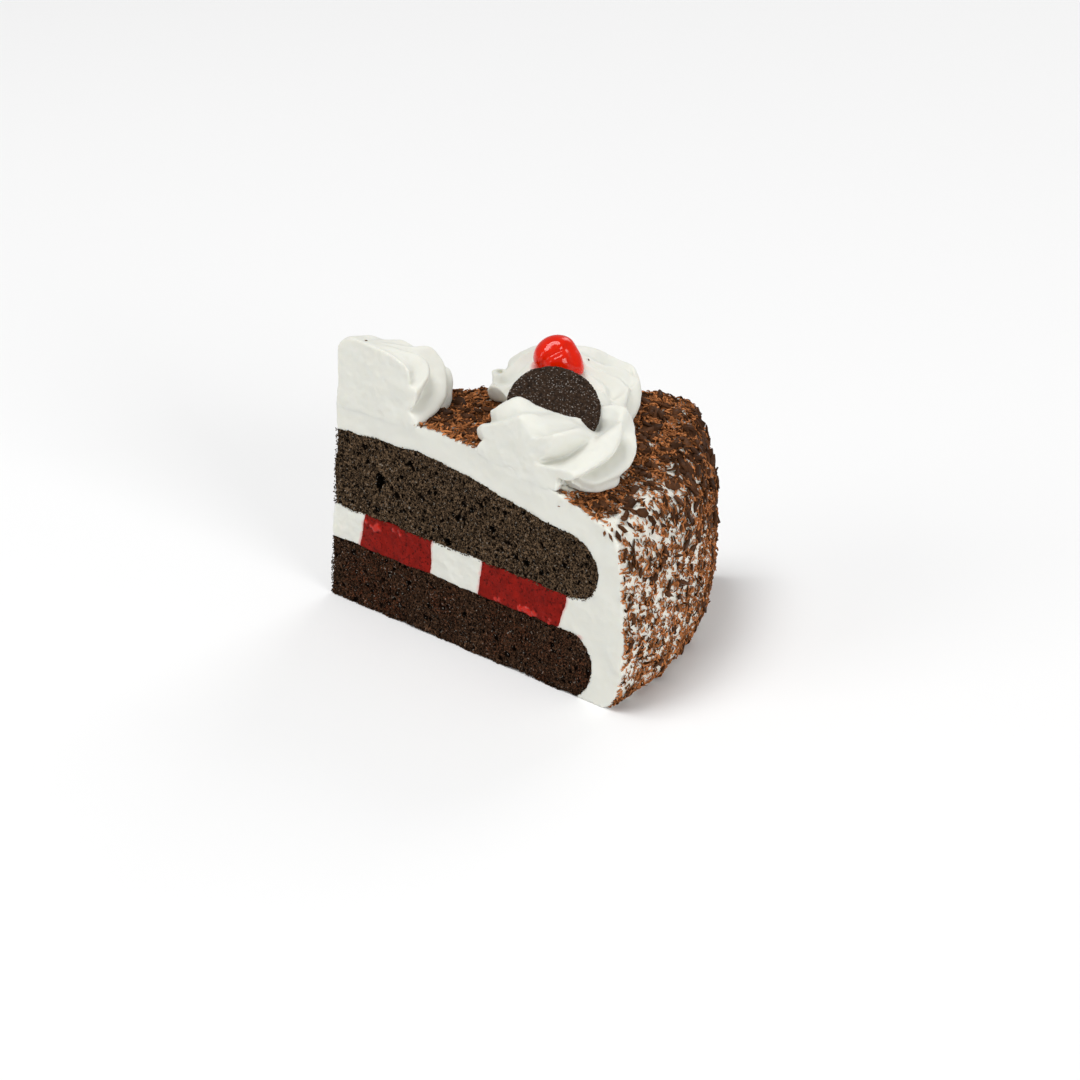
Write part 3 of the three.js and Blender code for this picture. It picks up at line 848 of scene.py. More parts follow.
def soften(mesh):
    """Rounds off the ridges of a swirl and its cut edges."""
    bm = bmesh.new()
    bm.from_mesh(mesh)
    for _ in range(SOFT_ROUNDS):
        bmesh.ops.smooth_vert(
            bm, verts=bm.verts, factor=0.5, use_axis_x=True, use_axis_y=True, use_axis_z=True
        )
    bm.to_mesh(mesh)
    bm.free()


def pressed_back(at):
    """Cream beside the biscuit's lower end, pressed back until that end shows."""
    place = np.array(biscuit_frame())
    local = (at - place[:3, 3]) @ place[:3, :3] / MM
    from_end = np.hypot(local[:, 0] - BISCUIT_END[0], local[:, 1] - BISCUIT_END[1]) / BISCUIT_END[2]
    press = np.exp(-(from_end**2)) * np.maximum(0, local[:, 2] + 1.5)
    return at - press[:, None] * MM * place[:3, 2]


class CAKE_OT_rosettes(bpy.types.Operator):
    """Pipes the three rosettes of cream"""

    bl_idname = "cake.rosettes"
    bl_label = "Rosettes"

    def execute(self, context):
        material = cream_finish("Rosette cream")
        for node, place in ROSETTES.items():
            mesh = even_grid(sliced(piped(place)), sizes().fine)
            soften(mesh)
            if node == "rosette_front":
                move_points(mesh, pressed_back(points_of(mesh)))
            at, out = points_of(mesh), normals_of(mesh)
            cut = np.minimum(*depths(at)) < sizes().fine
            # The cut face sinks into the coat's below the top, so that no seam shows.
            below = coat_top(from_axis(at)) - at[:, 2]
            proud = 0.03 * MM - 0.2 * MM * ramp(below, 1 * MM, 5 * MM)
            lift = (cut_relief(at) + proud) * cut
            from_cherry = np.linalg.norm(at - (TIP_X + CHERRY["x"], CHERRY["y"], CHERRY["z"]), axis=1)
            juice_from = 1.05 * CHERRY["radius"]
            mark_points(mesh, "stain", 1 - ramp(from_cherry, juice_from, juice_from + 1.2 * MM))
            move_points(mesh, at + out * lift[:, None])
            settle(mesh)
            add_piece(node + "_piped", mesh, material, [node])
        return {"FINISHED"}


# ---- Cherry ----
CHERRY = {"radius": 6.8 * MM, "height": 13 * MM, "x": 67.4 * MM, "y": 7 * MM, "z": 80.6 * MM}
FOLDED_SIDE = math.radians(19.14), math.radians(26)  # where it faces: to the right of -Y, and upwards
# On the folded side, places are given on a unit disc: rightward and upward.
FOLDS = [  # the line of each fold of the skin, its depth and its width
    ([(0.42, 0.5), (0.0, 0.22), (-0.45, 0.0), (-0.66, -0.35), (-0.66, -0.9)], 0.12, 0.16),
    ([(0.55, 0.3), (0.66, -0.1), (0.68, -0.9)], 0.08, 0.16),
]
DIMPLE = (-0.2, 0.4, 0.3, 0.13)  # rightward, upward, radius and depth
SWELLS = [  # rightward, upward, half width, half height, and how far it stands out or in
    (0.85, -0.55, 0.3, 0.35, 0.2),
    (0.75, 0.4, 0.35, 0.4, -0.13),
]


def distance_to_line(x, y, line):
    """How far places lie from the nearest part of a bent line."""
    nearest = np.full(len(x), FAR)
    for (ax, ay), (bx, by) in zip(line, line[1:]):
        dx, dy = bx - ax, by - ay
        share = np.clip(((x - ax) * dx + (y - ay) * dy) / (dx * dx + dy * dy), 0, 1)
        nearest = np.minimum(nearest, np.hypot(x - ax - dx * share, y - ay - dy * share))
    return nearest


class CAKE_OT_cherry(bpy.types.Operator):
    """Sets the candied cherry on its rosette"""

    bl_idname = "cake.cherry"
    bl_label = "Cherry"

    def execute(self, context):
        bm = bmesh.new()
        bmesh.ops.create_icosphere(bm, subdivisions=6, radius=1)
        at = np.array([vert.co for vert in bm.verts])
        turn, rise = FOLDED_SIDE
        right = np.array((math.cos(turn), math.sin(turn), 0))
        level = np.array((math.sin(turn), -math.cos(turn), 0))
        towards = level * math.cos(rise) + np.array((0, 0, math.sin(rise)))
        x, y, facing = at @ right, at @ np.cross(towards, right), ramp(at @ towards, -0.25, 0.15)
        swell = 0.04 * noise_at(at, 0.9, 81.0)
        for line, depth, width in FOLDS:
            swell -= depth * facing * np.exp(-((distance_to_line(x, y, line) / width) ** 2))
        from_dimple = np.hypot(x - DIMPLE[0], y - DIMPLE[1]) / DIMPLE[2]
        swell -= DIMPLE[3] * facing * np.exp(-(from_dimple**2))
        for rightward, upward, half_width, half_height, amount in SWELLS:
            away = ((x - rightward) / half_width) ** 2 + ((y - upward) / half_height) ** 2
            swell += amount * np.exp(-away)
        at = at * (1 + swell)[:, None] * (CHERRY["radius"], CHERRY["radius"], CHERRY["height"] / 2)
        at += (TIP_X + CHERRY["x"], CHERRY["y"], CHERRY["z"])
        for vert, position in zip(bm.verts, at):
            vert.co = position
        add_piece("candied_cherry", mesh_from(bm, "cherry"), cherry_finish(), ["cherry"])
        return {"FINISHED"}


# ---- Biscuit ----
BISCUIT = {"radius": 12.8 * MM, "thickness": 2.4 * MM, "x": 73.6 * MM, "y": -14.7 * MM, "z": 75.4 * MM}
BISCUIT_TILT = math.radians(36)
BISCUIT_FACING = math.radians(-59)
BISCUIT_GRID = 0.2 * MM
# Where the cream beside it is pressed back: a place on its face and the reach round it, in millimetres.
BISCUIT_END = (6.2, 11.6, 3.6)


def biscuit_frame():
    """Turns and moves what lies flat at the origin to the biscuit's place."""
    place = Matrix.Translation((TIP_X + BISCUIT["x"], BISCUIT["y"], BISCUIT["z"]))
    return place @ Matrix.Rotation(BISCUIT_FACING, 4, "Z") @ Matrix.Rotation(BISCUIT_TILT, 4, "Y")


class CAKE_OT_biscuit(bpy.types.Operator):
    """Pushes the dark biscuit into its rosette"""

    bl_idname = "cake.biscuit"
    bl_label = "Biscuit"

    def execute(self, context):
        radius, thickness = BISCUIT["radius"], BISCUIT["thickness"]
        bm = bmesh.new()
        bmesh.ops.create_cone(
            bm, cap_ends=True, segments=96, radius1=radius, radius2=radius, depth=thickness
        )
        rims = [edge for edge in bm.edges if abs(edge.verts[0].co.z - edge.verts[1].co.z) < thickness / 2]
        bmesh.ops.bevel(bm, geom=rims, offset=0.7 * MM, segments=5, profile=0.5, affect="EDGES", material=-1)
        mesh = even_grid(bm, BISCUIT_GRID)
        at, out = points_of(mesh), normals_of(mesh)
        lumps = 0.26 * MM * (0.5 - cells_at(at, 0.95 * MM, 91.0)) + 0.12 * MM * noise_at(at, 0.6 * MM, 93.0)
        broad = 0.14 * MM * noise_at(at, 4 * MM, 95.0)
        move_points(mesh, at + out * (lumps + broad)[:, None])
        # Painted light and shade: the lumps' tops are marked lighter and the hollows between them darker, and
        # the material colours them so.
        mark_points(mesh, "grain", np.clip(0.5 + lumps / (0.3 * MM), 0, 1))
        mesh.transform(biscuit_frame())
        add_piece("cocoa_biscuit", mesh, biscuit_finish(), ["biscuit"])
        return {"FINISHED"}


# ---- Chocolate ----
HOOKS = (-4.0, 3.5, -2.2, 2.5, 0.8, -1.0)  # how far each kind of sliver bends to one side


def sliver(length_steps, bend, hook, taper, thickness, seed):
    """A thin strip of unit length and width, as points and faces.

    It arches up by bend, hooks to one side and tapers to its ends.
    """
    random = np.random.RandomState(seed)
    bm = bmesh.new()
    bmesh.ops.create_grid(bm, x_segments=length_steps, y_segments=1, size=0.5)
    for vert in bm.verts:
        x, y = vert.co.x, vert.co.y
        narrow = 1 - taper * (2 * abs(x)) ** 1.6
        y = y * narrow + random.uniform(-0.12, 0.12) + hook * (0.25 - x * x)
        vert.co = (x, y, bend * (0.25 - x * x) * 2 + 0.25 * bend * y)
    bmesh.ops.solidify(bm, geom=bm.faces[:], thickness=thickness)
    return plain_arrays(bm)


def shard(corners, seed):
    """A flat flake of unit length and width with a broken outline, as points and faces."""
    random = np.random.RandomState(seed)
    bm = bmesh.new()
    bmesh.ops.create_circle(bm, cap_ends=True, segments=corners, radius=0.55)
    for vert in bm.verts:
        vert.co *= random.uniform(0.75, 1.15)
        vert.co.z = random.uniform(-0.05, 0.05)
    bmesh.ops.triangulate(bm, faces=bm.faces[:])
    bmesh.ops.solidify(bm, geom=bm.faces[:], thickness=0.12)
    return plain_arrays(bm)


def grain(seed):
    """A small broken lump of unit size, as points and faces."""
    random = np.random.RandomState(seed)
    bm = bmesh.new()
    bmesh.ops.create_uvsphere(bm, u_segments=4, v_segments=2, radius=0.5)
    for vert in bm.verts:
        vert.co *= random.uniform(0.65, 1.2)
    return plain_arrays(bm)


def plain_arrays(bm):
    """A shape's points and its faces of three corners."""
    bmesh.ops.triangulate(bm, faces=bm.faces[:])
    bmesh.ops.recalc_face_normals(bm, faces=bm.faces)
    bm.verts.index_update()
    points = np.array([vert.co for vert in bm.verts])
    faces = np.array([[vert.index for vert in face.verts] for face in bm.faces])
    bm.free()
    return points, faces


def joined(name, templates, centres, frames, scales, tones):
    """One mesh of many copies: each has a centre, three axes as columns, a scale and a tone."""
    all_points, all_faces, all_tones = [], [], []
    start = 0
    for kind, (points, faces) in enumerate(templates):
        chosen = np.arange(kind, len(centres), len(templates))
        local = points[None, :, :] * scales[chosen][:, None, :]
        placed = np.einsum("nij,nvj->nvi", frames[chosen], local) + centres[chosen][:, None, :]
        offsets = start + np.arange(len(chosen)) * len(points)
        all_points.append(placed.reshape(-1, 3))
        all_faces.append((faces[None, :, :] + offsets[:, None, None]).reshape(-1, 3))
        all_tones.append(np.repeat(tones[chosen], len(points)))
        start += len(chosen) * len(points)
    mesh = bpy.data.meshes.new(name)
    mesh.from_pydata(np.vstack(all_points), [], np.vstack(all_faces))
    mark_points(mesh, "tone", np.concatenate(all_tones))
    return mesh


def on_coat(random, count):
    """Evenly spread random places on the coat's outside, with the directions that lead out of it."""
    rim = coat_rim() * MM
    middles = (rim[1:] + rim[:-1]) / 2
    steps = rim[1:] - rim[:-1]
    area = np.hypot(*steps.T) * middles[:, 0]
    reach = np.append(0, np.cumsum(area)) / area.sum()
    share = random.uniform(0, 1, count)
    r = np.interp(share, reach, rim[:, 0])
    z = np.interp(share, reach, rim[:, 1])
    row = np.clip(np.searchsorted(reach, share) - 1, 0, len(steps) - 1)
    normal = np.stack([steps[row, 1], -steps[row, 0]], axis=1)
    normal /= np.hypot(*normal.T)[:, None]
    angle = random.uniform(FRONT_CUT, BACK_CUT, count)
    cosine, sine = np.cos(angle), np.sin(angle)
    at = np.stack([TIP_X + r * cosine, r * sine, z], axis=1)
    at += rim_shift(at)
    out = np.stack([normal[:, 0] * cosine, normal[:, 0] * sine, normal[:, 1]], axis=1)
    return at, out


def clear_of_rosettes(at, clear):
    """Whether places keep that distance from every rosette. All places on the wall do."""
    kept = np.ones(len(at), bool)
    for place in ROSETTES.values():
        away = np.hypot(at[:, 0] - TIP_X - place.x, at[:, 1] - place.y)
        kept &= (away > place.radius + clear) | (at[:, 2] < coat_top(0.95 * RADIUS))
    return kept


def frames_on(out, turn, tilt, roll):
    """Axes for pieces that lie on a surface: turn is measured from the level direction along it."""
    level = np.cross((0, 0, 1.0), out)
    flat = np.linalg.norm(level, axis=1) < 0.2
    level[flat] = (0, 1, 0)
    level /= np.linalg.norm(level, axis=1)[:, None]
    rise = np.cross(out, level)
    long = level * np.cos(turn)[:, None] + rise * np.sin(turn)[:, None]
    across = np.cross(out, long)
    long, up = rotated(long, out, tilt)
    across, up = rotated(across, up, roll)
    return np.stack([long, across, up], axis=2)


def rotated(first, second, angle):
    """Turns two square axes about the third."""
    cosine, sine = np.cos(angle)[:, None], np.sin(angle)[:, None]
    return first * cosine + second * sine, second * cosine - first * sine


def cover(at):
    """How thickly fine shavings lie, from 0 to 1: densely on the top, with cream between on the wall."""
    r, height = from_axis(at) / MM, at[:, 2] / MM
    wall = ramp(r, 98, 108)
    patches = 0.8 * noise_at(at, 5 * MM, 101.0) + 1.1 * noise_at(at, 2.2 * MM, 103.0)
    back = ramp(compass(at), -22.5, 11.5)
    high = ramp(height, 22, 48)
    on_wall = 0.40 + 0.22 * back * high + 0.12 * (1 - back) * (1 - high) + 0.5 * patches
    rim_front = np.exp(-(((r - 102) / 6) ** 2) - ((height - 54) / 4) ** 2) * (1 - back)
    on_top = 0.92 + 0.55 * patches
    return np.clip(on_top + (on_wall - on_top) * wall - 0.55 * rim_front, 0.05, 1)


def flake_cover(at):
    """How thickly broad flakes lie: most on the upper wall and the top towards the back cut."""
    back = ramp(compass(at), -22.5, 7.5)
    high = ramp(at[:, 2] / MM, 18, 48)
    patches = noise_at(at, 10 * MM, 105.0)
    level = 1 - upright_share(at)
    return np.clip(0.2 + 0.6 * high * (0.25 + 0.75 * back) + 0.38 * level + 0.3 * patches, 0.04, 1)


def curl_cover(at):
    return cover(at) ** 2


def dust_cover(at):
    return cover(at) ** 2 * (1 - 0.7 * upright_share(at))


def broad_flake_cover(at):
    return flake_cover(at) ** 3


def scatter(seed, count, edge, clear, density):
    """Places for pieces of chocolate: on the coat, off the cuts and clear of the rosettes.

    edge is how far they keep from a cut, and clear from a rosette. A clear below 0 lets them lie under it.
    """
    random = np.random.RandomState(seed)
    at, out = on_coat(random, count * 4)
    inside = np.minimum(*depths(at))
    kept = (inside > edge) & clear_of_rosettes(at, clear) & (at[:, 2] > 1.2 * MM)
    # Next to a cut nothing lies far under a rosette, where it would come through the cut cream.
    kept &= (inside > 1.6 * MM) | clear_of_rosettes(at, -2 * MM)
    kept &= random.uniform(0, 1, len(at)) < density(at)
    chosen = np.flatnonzero(kept)[:count]
    at, out = at[chosen], out[chosen]
    return random, at + out * coat_relief(at)[:, None], out


def upright_share(at):
    """1 on the wall, where long pieces stand upright, and 0 on the top."""
    return ramp(from_axis(at) / MM, 103, 108)


def lie(random, at, out, spread, tilt):
    """Axes for pieces that lie any way round on the top and mostly upright on the wall."""
    wall = upright_share(at)
    free = random.uniform(-math.pi, math.pi, len(at))
    upright = math.pi / 2 + random.normal(0, spread, len(at))
    turn = np.where(random.uniform(0, 1, len(at)) < wall * 0.85, upright, free)
    return frames_on(out, turn, random.normal(0, tilt, len(at)), random.normal(0, tilt * 1.6, len(at)))


class CAKE_OT_chocolate(bpy.types.Operator):
    """Strews shavings, curls, flakes and dust of chocolate over the coat"""

    bl_idname = "cake.chocolate"
    bl_label = "Chocolate"

    def execute(self, context):
        look = colours()
        thin = chocolate_finish("Thin chocolate", look.chocolate_dark, look.chocolate_light, 0.03)
        thick = chocolate_finish("Thick chocolate", scaled(look.flake, 0.7), scaled(look.flake, 2.0), 0.05)

        def strew(name, templates, spots, shape, lift, spread, tilt, tone, material=thin):
            """A piece of chocolate at each spot, of a random length, width and height from shape's spans.

            lift spans their heights over the coat, spread and tilt are how far they turn and lean, in
            radians, and tone holds the mean and the spread of their browns.
            """
            random, at, out = spots
            scales = np.stack([random.uniform(*span, len(at)) * MM for span in shape], axis=1)
            frames = lie(random, at, out, spread, tilt)
            centres = at + out * (random.uniform(*lift, len(at)) * MM)[:, None]
            tones = np.clip(random.normal(*tone, len(at)), 0, 1)
            mesh = joined(name, templates, centres, frames, scales, tones)
            settle(mesh)
            add_piece(name, mesh, material, ["coat_with_flakes"])

        strew(
            "fine_shavings",
            [sliver(3, 0.25 + 0.12 * k, hook, 0.5, 0.2, 200 + k) for k, hook in enumerate(HOOKS)],
            scatter(1, amounts().shavings, edge=0.1 * MM, clear=-5.5 * MM, density=cover),
            shape=[(1.0, 2.3), (0.36, 0.66), (0.5, 1.0)],
            lift=(-0.08, 0.2),
            spread=1.4,
            tilt=0.4,
            tone=(0.62, 0.37),
        )
        strew(
            "curls",
            [sliver(4, 0.3 + 0.08 * k, hook / 2, 0.45, 0.12, 220 + k) for k, hook in enumerate(HOOKS)],
            scatter(2, amounts().curls, edge=0.4 * MM, clear=-3.5 * MM, density=curl_cover),
            shape=[(1.1, 2.6), (0.3, 0.65), (0.8, 1.6)],
            lift=(0.0, 0.6),
            spread=1.2,
            tilt=0.3,
            tone=(0.45, 0.36),
        )
        strew(
            "dark_flakes",
            [shard(4 + k % 3, 240 + k) for k in range(9)],
            scatter(3, amounts().flakes, edge=1.2 * MM, clear=-1.5 * MM, density=flake_cover),
            shape=[(1.7, 4.4), (0.9, 2.1), (2.2, 4.0)],
            lift=(0.35, 0.9),
            spread=0.5,
            tilt=0.24,
            tone=(0.42, 0.32),
            material=thick,
        )
        strew(
            "broad_flakes",
            [shard(5 + k % 3, 320 + k) for k in range(9)],
            scatter(8, amounts().broad_flakes, edge=2 * MM, clear=-1 * MM, density=broad_flake_cover),
            shape=[(3.2, 5.6), (1.8, 3.2), (3.0, 5.0)],
            lift=(0.5, 1.1),
            spread=0.5,
            tilt=0.22,
            tone=(0.35, 0.25),
            material=thick,
        )
        strew(
            "chocolate_dust",
            [grain(260 + k) for k in range(5)],
            scatter(4, amounts().dust, edge=0.1 * MM, clear=-6 * MM, density=dust_cover),
            shape=[(0.3, 0.75), (0.25, 0.5), (0.2, 0.4)],
            lift=(-0.1, 0.12),
            spread=1.5,
            tilt=0.5,
            tone=(0.4, 0.25),
        )
        return {"FINISHED"}


# ---- Stray bits ----
VIEW_SIDE = 1080  # across the camera's square view
STRAY_LIFT = 0.2 * MM
STRAYS = [  # place across and down the camera's view, length and width in millimetres, tone
    (366, 341, 1.3, 0.9, 0.2),
    (588.5, 360, 1.2, 0.8, 0.2),
    (605, 533, 2.0, 1.2, 0.5),
    (611, 537, 3.4, 1.6, 0.3),
    (559, 506, 1.2, 0.5, 0.6),
]


def sight_line(across, down):
    """Where a line of sight starts and where it leads, for a place in the camera's view."""
    turn = (-CAMERA_AWAY).to_track_quat("-Z", "Y")
    reach = SENSOR / LENS
    ahead = Vector(((across / VIEW_SIDE - 0.5) * reach, (0.5 - down / VIEW_SIDE) * reach, -1))
    return LOOK_AT + CAMERA_AWAY, (turn @ ahead).normalized()


def first_touch(carriers, across, down):
    """The place and the outward direction where a line of sight first meets the cream."""
    start, ahead = sight_line(across, down)
    hits = [carrier.ray_cast(start, ahead) for carrier in carriers]
    met = [(place, out) for found, place, out, _ in hits if found]
    if not met:
        raise RuntimeError("a stray bit misses the cream")
    return min(met, key=lambda hit: (hit[0] - start).length)


class CAKE_OT_strays(bpy.types.Operator):
    """Drops a few stray bits of chocolate on the cream"""

    bl_idname = "cake.strays"
    bl_label = "Stray bits"

    def execute(self, context):
        random = np.random.RandomState(7)
        names = [node + "_piped" for node in ROSETTES] + ["coat_cream"]
        carriers = [bpy.data.objects[name] for name in names]
        bits = np.array(STRAYS)
        touches = [first_touch(carriers, across, down) for across, down in bits[:, :2]]
        at = np.array([tuple(place) for place, _ in touches])
        out = np.array([tuple(direction) for _, direction in touches])
        scales = np.column_stack([bits[:, 2], bits[:, 3], 0.45 * bits[:, 3]]) * MM
        turn = random.uniform(0, math.pi, len(bits))
        frames = frames_on(out, turn, random.normal(0, 0.2, len(bits)), random.normal(0, 0.2, len(bits)))
        kinds = [grain(280 + k) for k in range(3)]
        mesh = joined("stray_bits", kinds, at + out * STRAY_LIFT, frames, scales, bits[:, 4])
        look = colours()
        light = scaled(look.chocolate_light, 0.5)
        material = chocolate_finish("Stray chocolate", look.chocolate_dark, light, 0.1)
        add_piece("stray_bits", mesh, material, ["coat_with_flakes"])
        return {"FINISHED"}


# ---- Finishes ----
COLOUR_A, COLOUR_B, COLOUR_OUT = 6, 7, 2  # a Mix node's colour sockets
STAINED_CREAM = (0.72, 0.30, 0.27)
DUSTY_CREAM = (0.80, 0.70, 0.54)
# Painted shade: the dark brown of the shade between thickly piled shavings.
SHADE_UNDER_SHAVINGS = (0.060, 0.024, 0.008)
# Painted highlights: pale colours for the glints on the sponges and on the biscuit.
PAINTED_MOIST_GLINT = (0.5, 0.46, 0.40)
PAINTED_DRY_GLINT = (0.42, 0.39, 0.36)


class Finish:
    """A material in the making, whose patterns lie on the object's own coordinates."""

    def __init__(self, name, settings):
        self.material = bpy.data.materials.new(name)
        self.material.use_nodes = True
        self.nodes = self.material.node_tree.nodes
        self.links = self.material.node_tree.links
        self.shader = self.nodes["Principled BSDF"]
        self.place = self.nodes.new("ShaderNodeTexCoord").outputs["Object"]
        for socket, value in settings.items():
            self.shader.inputs[socket].default_value = value

    def add(self, kind, inputs, **settings):
        node = self.nodes.new("ShaderNode" + kind)
        for name, value in settings.items():
            setattr(node, name, value)
        for socket, value in inputs.items():
            self.feed(node.inputs[socket], value)
        return node

    def feed(self, socket, value):
        if isinstance(value, bpy.types.NodeSocket):
            self.links.new(value, socket)
        else:
            socket.default_value = value

    def clouds(self, size, detail=2.0, roughness=0.5):
        inputs = {"Vector": self.place, "Scale": 1 / size, "Detail": detail, "Roughness": roughness}
        return self.add("TexNoise", inputs).outputs["Fac"]

    def grains(self, size, at=None):
        inputs = {"Vector": at or self.place, "Scale": 1 / size}
        return self.add("TexVoronoi", inputs).outputs["Distance"]

    def warped(self, size, amount):
        """Places that wander by an amount, so that a pattern on them is uneven."""
        wander = self.add("TexNoise", {"Vector": self.place, "Scale": 1 / size}).outputs["Color"]
        centred = self.add("VectorMath", {0: wander, 1: (0.5, 0.5, 0.5)}, operation="SUBTRACT").outputs[0]
        shift = self.add("VectorMath", {0: centred, "Scale": amount}, operation="SCALE").outputs[0]
        return self.add("VectorMath", {0: self.place, 1: shift}, operation="ADD").outputs[0]

    def mark(self, name):
        """The numbers that mark_points has stored under that name."""
        return self.add("Attribute", {}, attribute_name=name).outputs["Fac"]

    def times(self, first, second, clamp=False):
        return self.add("Math", {0: first, 1: second}, operation="MULTIPLY", use_clamp=clamp).outputs[0]

    def span(self, value, low, high, new_low=0.0, new_high=1.0):
        """A value's way from low to high, as one from the new low to the new high."""
        inputs = {0: value, 1: low, 2: high, 3: new_low, 4: new_high}
        return self.add("MapRange", inputs, clamp=True).outputs[0]

    def mix(self, share, first, second):
        inputs = {0: share, COLOUR_A: opaque(first), COLOUR_B: opaque(second)}
        return self.add("Mix", inputs, data_type="RGBA").outputs[COLOUR_OUT]

    def bump(self, height, distance, strength, below=None):
        inputs = {"Strength": strength, "Distance": distance, "Height": height}
        if below is not None:
            inputs["Normal"] = below
        return self.add("Bump", inputs).outputs["Normal"]

    def finish(self, **sockets):
        for name, value in sockets.items():
            self.feed(self.shader.inputs[name.replace("_", " ")], value)
        return self.material


def opaque(value):
    return value if isinstance(value, bpy.types.NodeSocket) else (*value, 1)


def scaled(value, share):
    return tuple(share * channel for channel in value)


def cream_finish(name, dusty=False):
    """Whipped cream. Where it is dusty it takes a cocoa tint and chocolate specks, and where shavings lie
    thick it is painted dark brown as the shade between them.
    """
    look = colours()
    settings = {
        "Subsurface Weight": 0.35,
        "Subsurface Radius": (1.0, 0.85, 0.65),
        "Subsurface Scale": 1.6 * MM,
        "Specular IOR Level": 0.35,
    }
    f = Finish(name, settings)
    tint = f.mix(f.clouds(12 * MM), scaled(look.cream, 0.96), look.cream)
    base = f.mix(f.times(f.mark("stain"), 0.75), tint, STAINED_CREAM)
    if dusty:
        speck = f.span(f.grains(0.9 * MM), 0.12, 0.18, 1.0, 0.0)
        patch = f.span(f.clouds(3.2 * MM), 0.45, 0.6)
        share = f.times(f.times(speck, patch), f.mark("dusty"))
        tinted = f.mix(f.times(f.mark("dusty"), 0.14), base, DUSTY_CREAM)
        specked = f.mix(share, tinted, scaled(look.chocolate_light, 0.8))
        # Painted shade: dark brown, broken up by clouds, where the shavings lie thick.
        cocoa = f.times(f.span(f.clouds(0.9 * MM, 3.0), 0.3, 0.5, 0.6, 1.0), f.mark("cocoa"))
        base = f.mix(cocoa, specked, SHADE_UNDER_SHAVINGS)
    fine = f.bump(f.clouds(0.45 * MM, 3.0), 0.05 * MM, 0.35)
    soft = f.bump(f.clouds(2.4 * MM, 2.0), 0.2 * MM, 0.3, fine)
    rough = f.span(f.clouds(1.5 * MM), 0.3, 0.7, 0.45, 0.6)
    return f.finish(Base_Color=base, Normal=soft, Roughness=rough)


def sponge_finish(name, light, dark, soaked):
    """Open chocolate crumb with painted light and shade: thin light walls, pores painted near black as the
    shade between them, and a few painted glints of moisture.
    """
    f = Finish(name, {"Specular IOR Level": 0.03, "Roughness": 0.8})
    uneven = f.warped(0.9 * MM, 0.6 * MM)
    cells = f.grains(0.8 * MM, at=uneven)
    # Painted light and shade: the cells' middles are dark as the shade in the pores and their walls are
    # light, and places marked higher are lighter still.
    walls = f.span(cells, 0.33, 0.60, 0.0, 1.25)
    threads = f.span(f.clouds(0.36 * MM, 2.0, 0.6), 0.41, 0.6, 0.1, 1.6)
    lit = f.times(f.times(walls, threads), f.span(f.mark("crumb"), 0.15, 1, 0.0, 1.45))
    broad = f.span(f.clouds(7 * MM), 0.3, 0.7, 0.88, 1.1)
    tint = f.mix(f.span(f.clouds(16 * MM), 0.42, 0.62), light, soaked)
    # The pores take the near-black pore colour as painted shade.
    base = f.mix(f.times(lit, broad, clamp=True), dark, tint)
    # Painted highlights: small pale specks that stand for moist glints.
    painted_glint = f.span(f.clouds(0.6 * MM, 1.0), 0.66, 0.71)
    base = f.mix(f.times(painted_glint, 0.45), base, PAINTED_MOIST_GLINT)
    low = f.bump(cells, 0.45 * MM, 0.9)
    normal = f.bump(f.clouds(0.28 * MM, 3.0), 0.12 * MM, 0.6, low)
    return f.finish(Base_Color=base, Normal=normal)


def crumb_finish(name, light, dark):
    """Loose crumbs, each of its own brown."""
    f = Finish(name, {"Specular IOR Level": 0.05, "Roughness": 0.7})
    base = f.mix(f.mark("tone"), scaled(dark, 1.5), scaled(light, 1.1))
    spots = f.span(f.clouds(0.4 * MM, 2.0), 0.35, 0.65, 0.0, 0.6)
    normal = f.bump(f.clouds(0.3 * MM, 2.0), 0.1 * MM, 0.6)
    return f.finish(Base_Color=f.mix(spots, base, dark), Normal=normal)


def filling_finish():
    """Set cherry filling: matt red with dark specks, and wet beads."""
    look = colours()
    f = Finish("Cherry filling", {"Specular IOR Level": 0.05, "Coat Roughness": 0.03})
    cloudy = f.span(f.clouds(2.2 * MM, 3.0), 0.3, 0.7)
    tint = f.mix(cloudy, scaled(look.filling, 0.75), scaled(look.filling, 1.25))
    specks = f.span(f.clouds(0.8 * MM, 2.0), 0.57, 0.66)
    dark = f.mix(f.times(specks, 0.75), tint, scaled(look.filling, 0.2))
    bright = f.mix(f.span(f.mark("wet"), 0.2, 0.8), dark, scaled(look.cherry, 0.6))
    wet = f.span(f.mark("wet"), 0.1, 0.5, 0.0, 0.5)
    pulp = f.bump(f.clouds(0.6 * MM, 3.0), 0.25 * MM, 0.8)
    return f.finish(Base_Color=bright, Roughness=0.6, Coat_Weight=wet, Normal=pulp)


def cherry_finish():
    """Glossy candied skin over clear red flesh."""
    look = colours()
    settings = {
        "Subsurface Weight": 0.2,
        "Subsurface Radius": (1.0, 0.06, 0.03),
        "Subsurface Scale": 2.0 * MM,
        "Roughness": 0.16,
        "Coat Weight": 0.42,
        "Coat Roughness": 0.06,
        "Specular IOR Level": 0.1,
    }
    f = Finish("Candied cherry", settings)
    base = f.mix(f.clouds(4 * MM), scaled(look.cherry, 0.82), look.cherry)
    normal = f.bump(f.clouds(3.0 * MM, 1.0), 0.15 * MM, 0.2)
    return f.finish(Base_Color=base, Normal=normal)


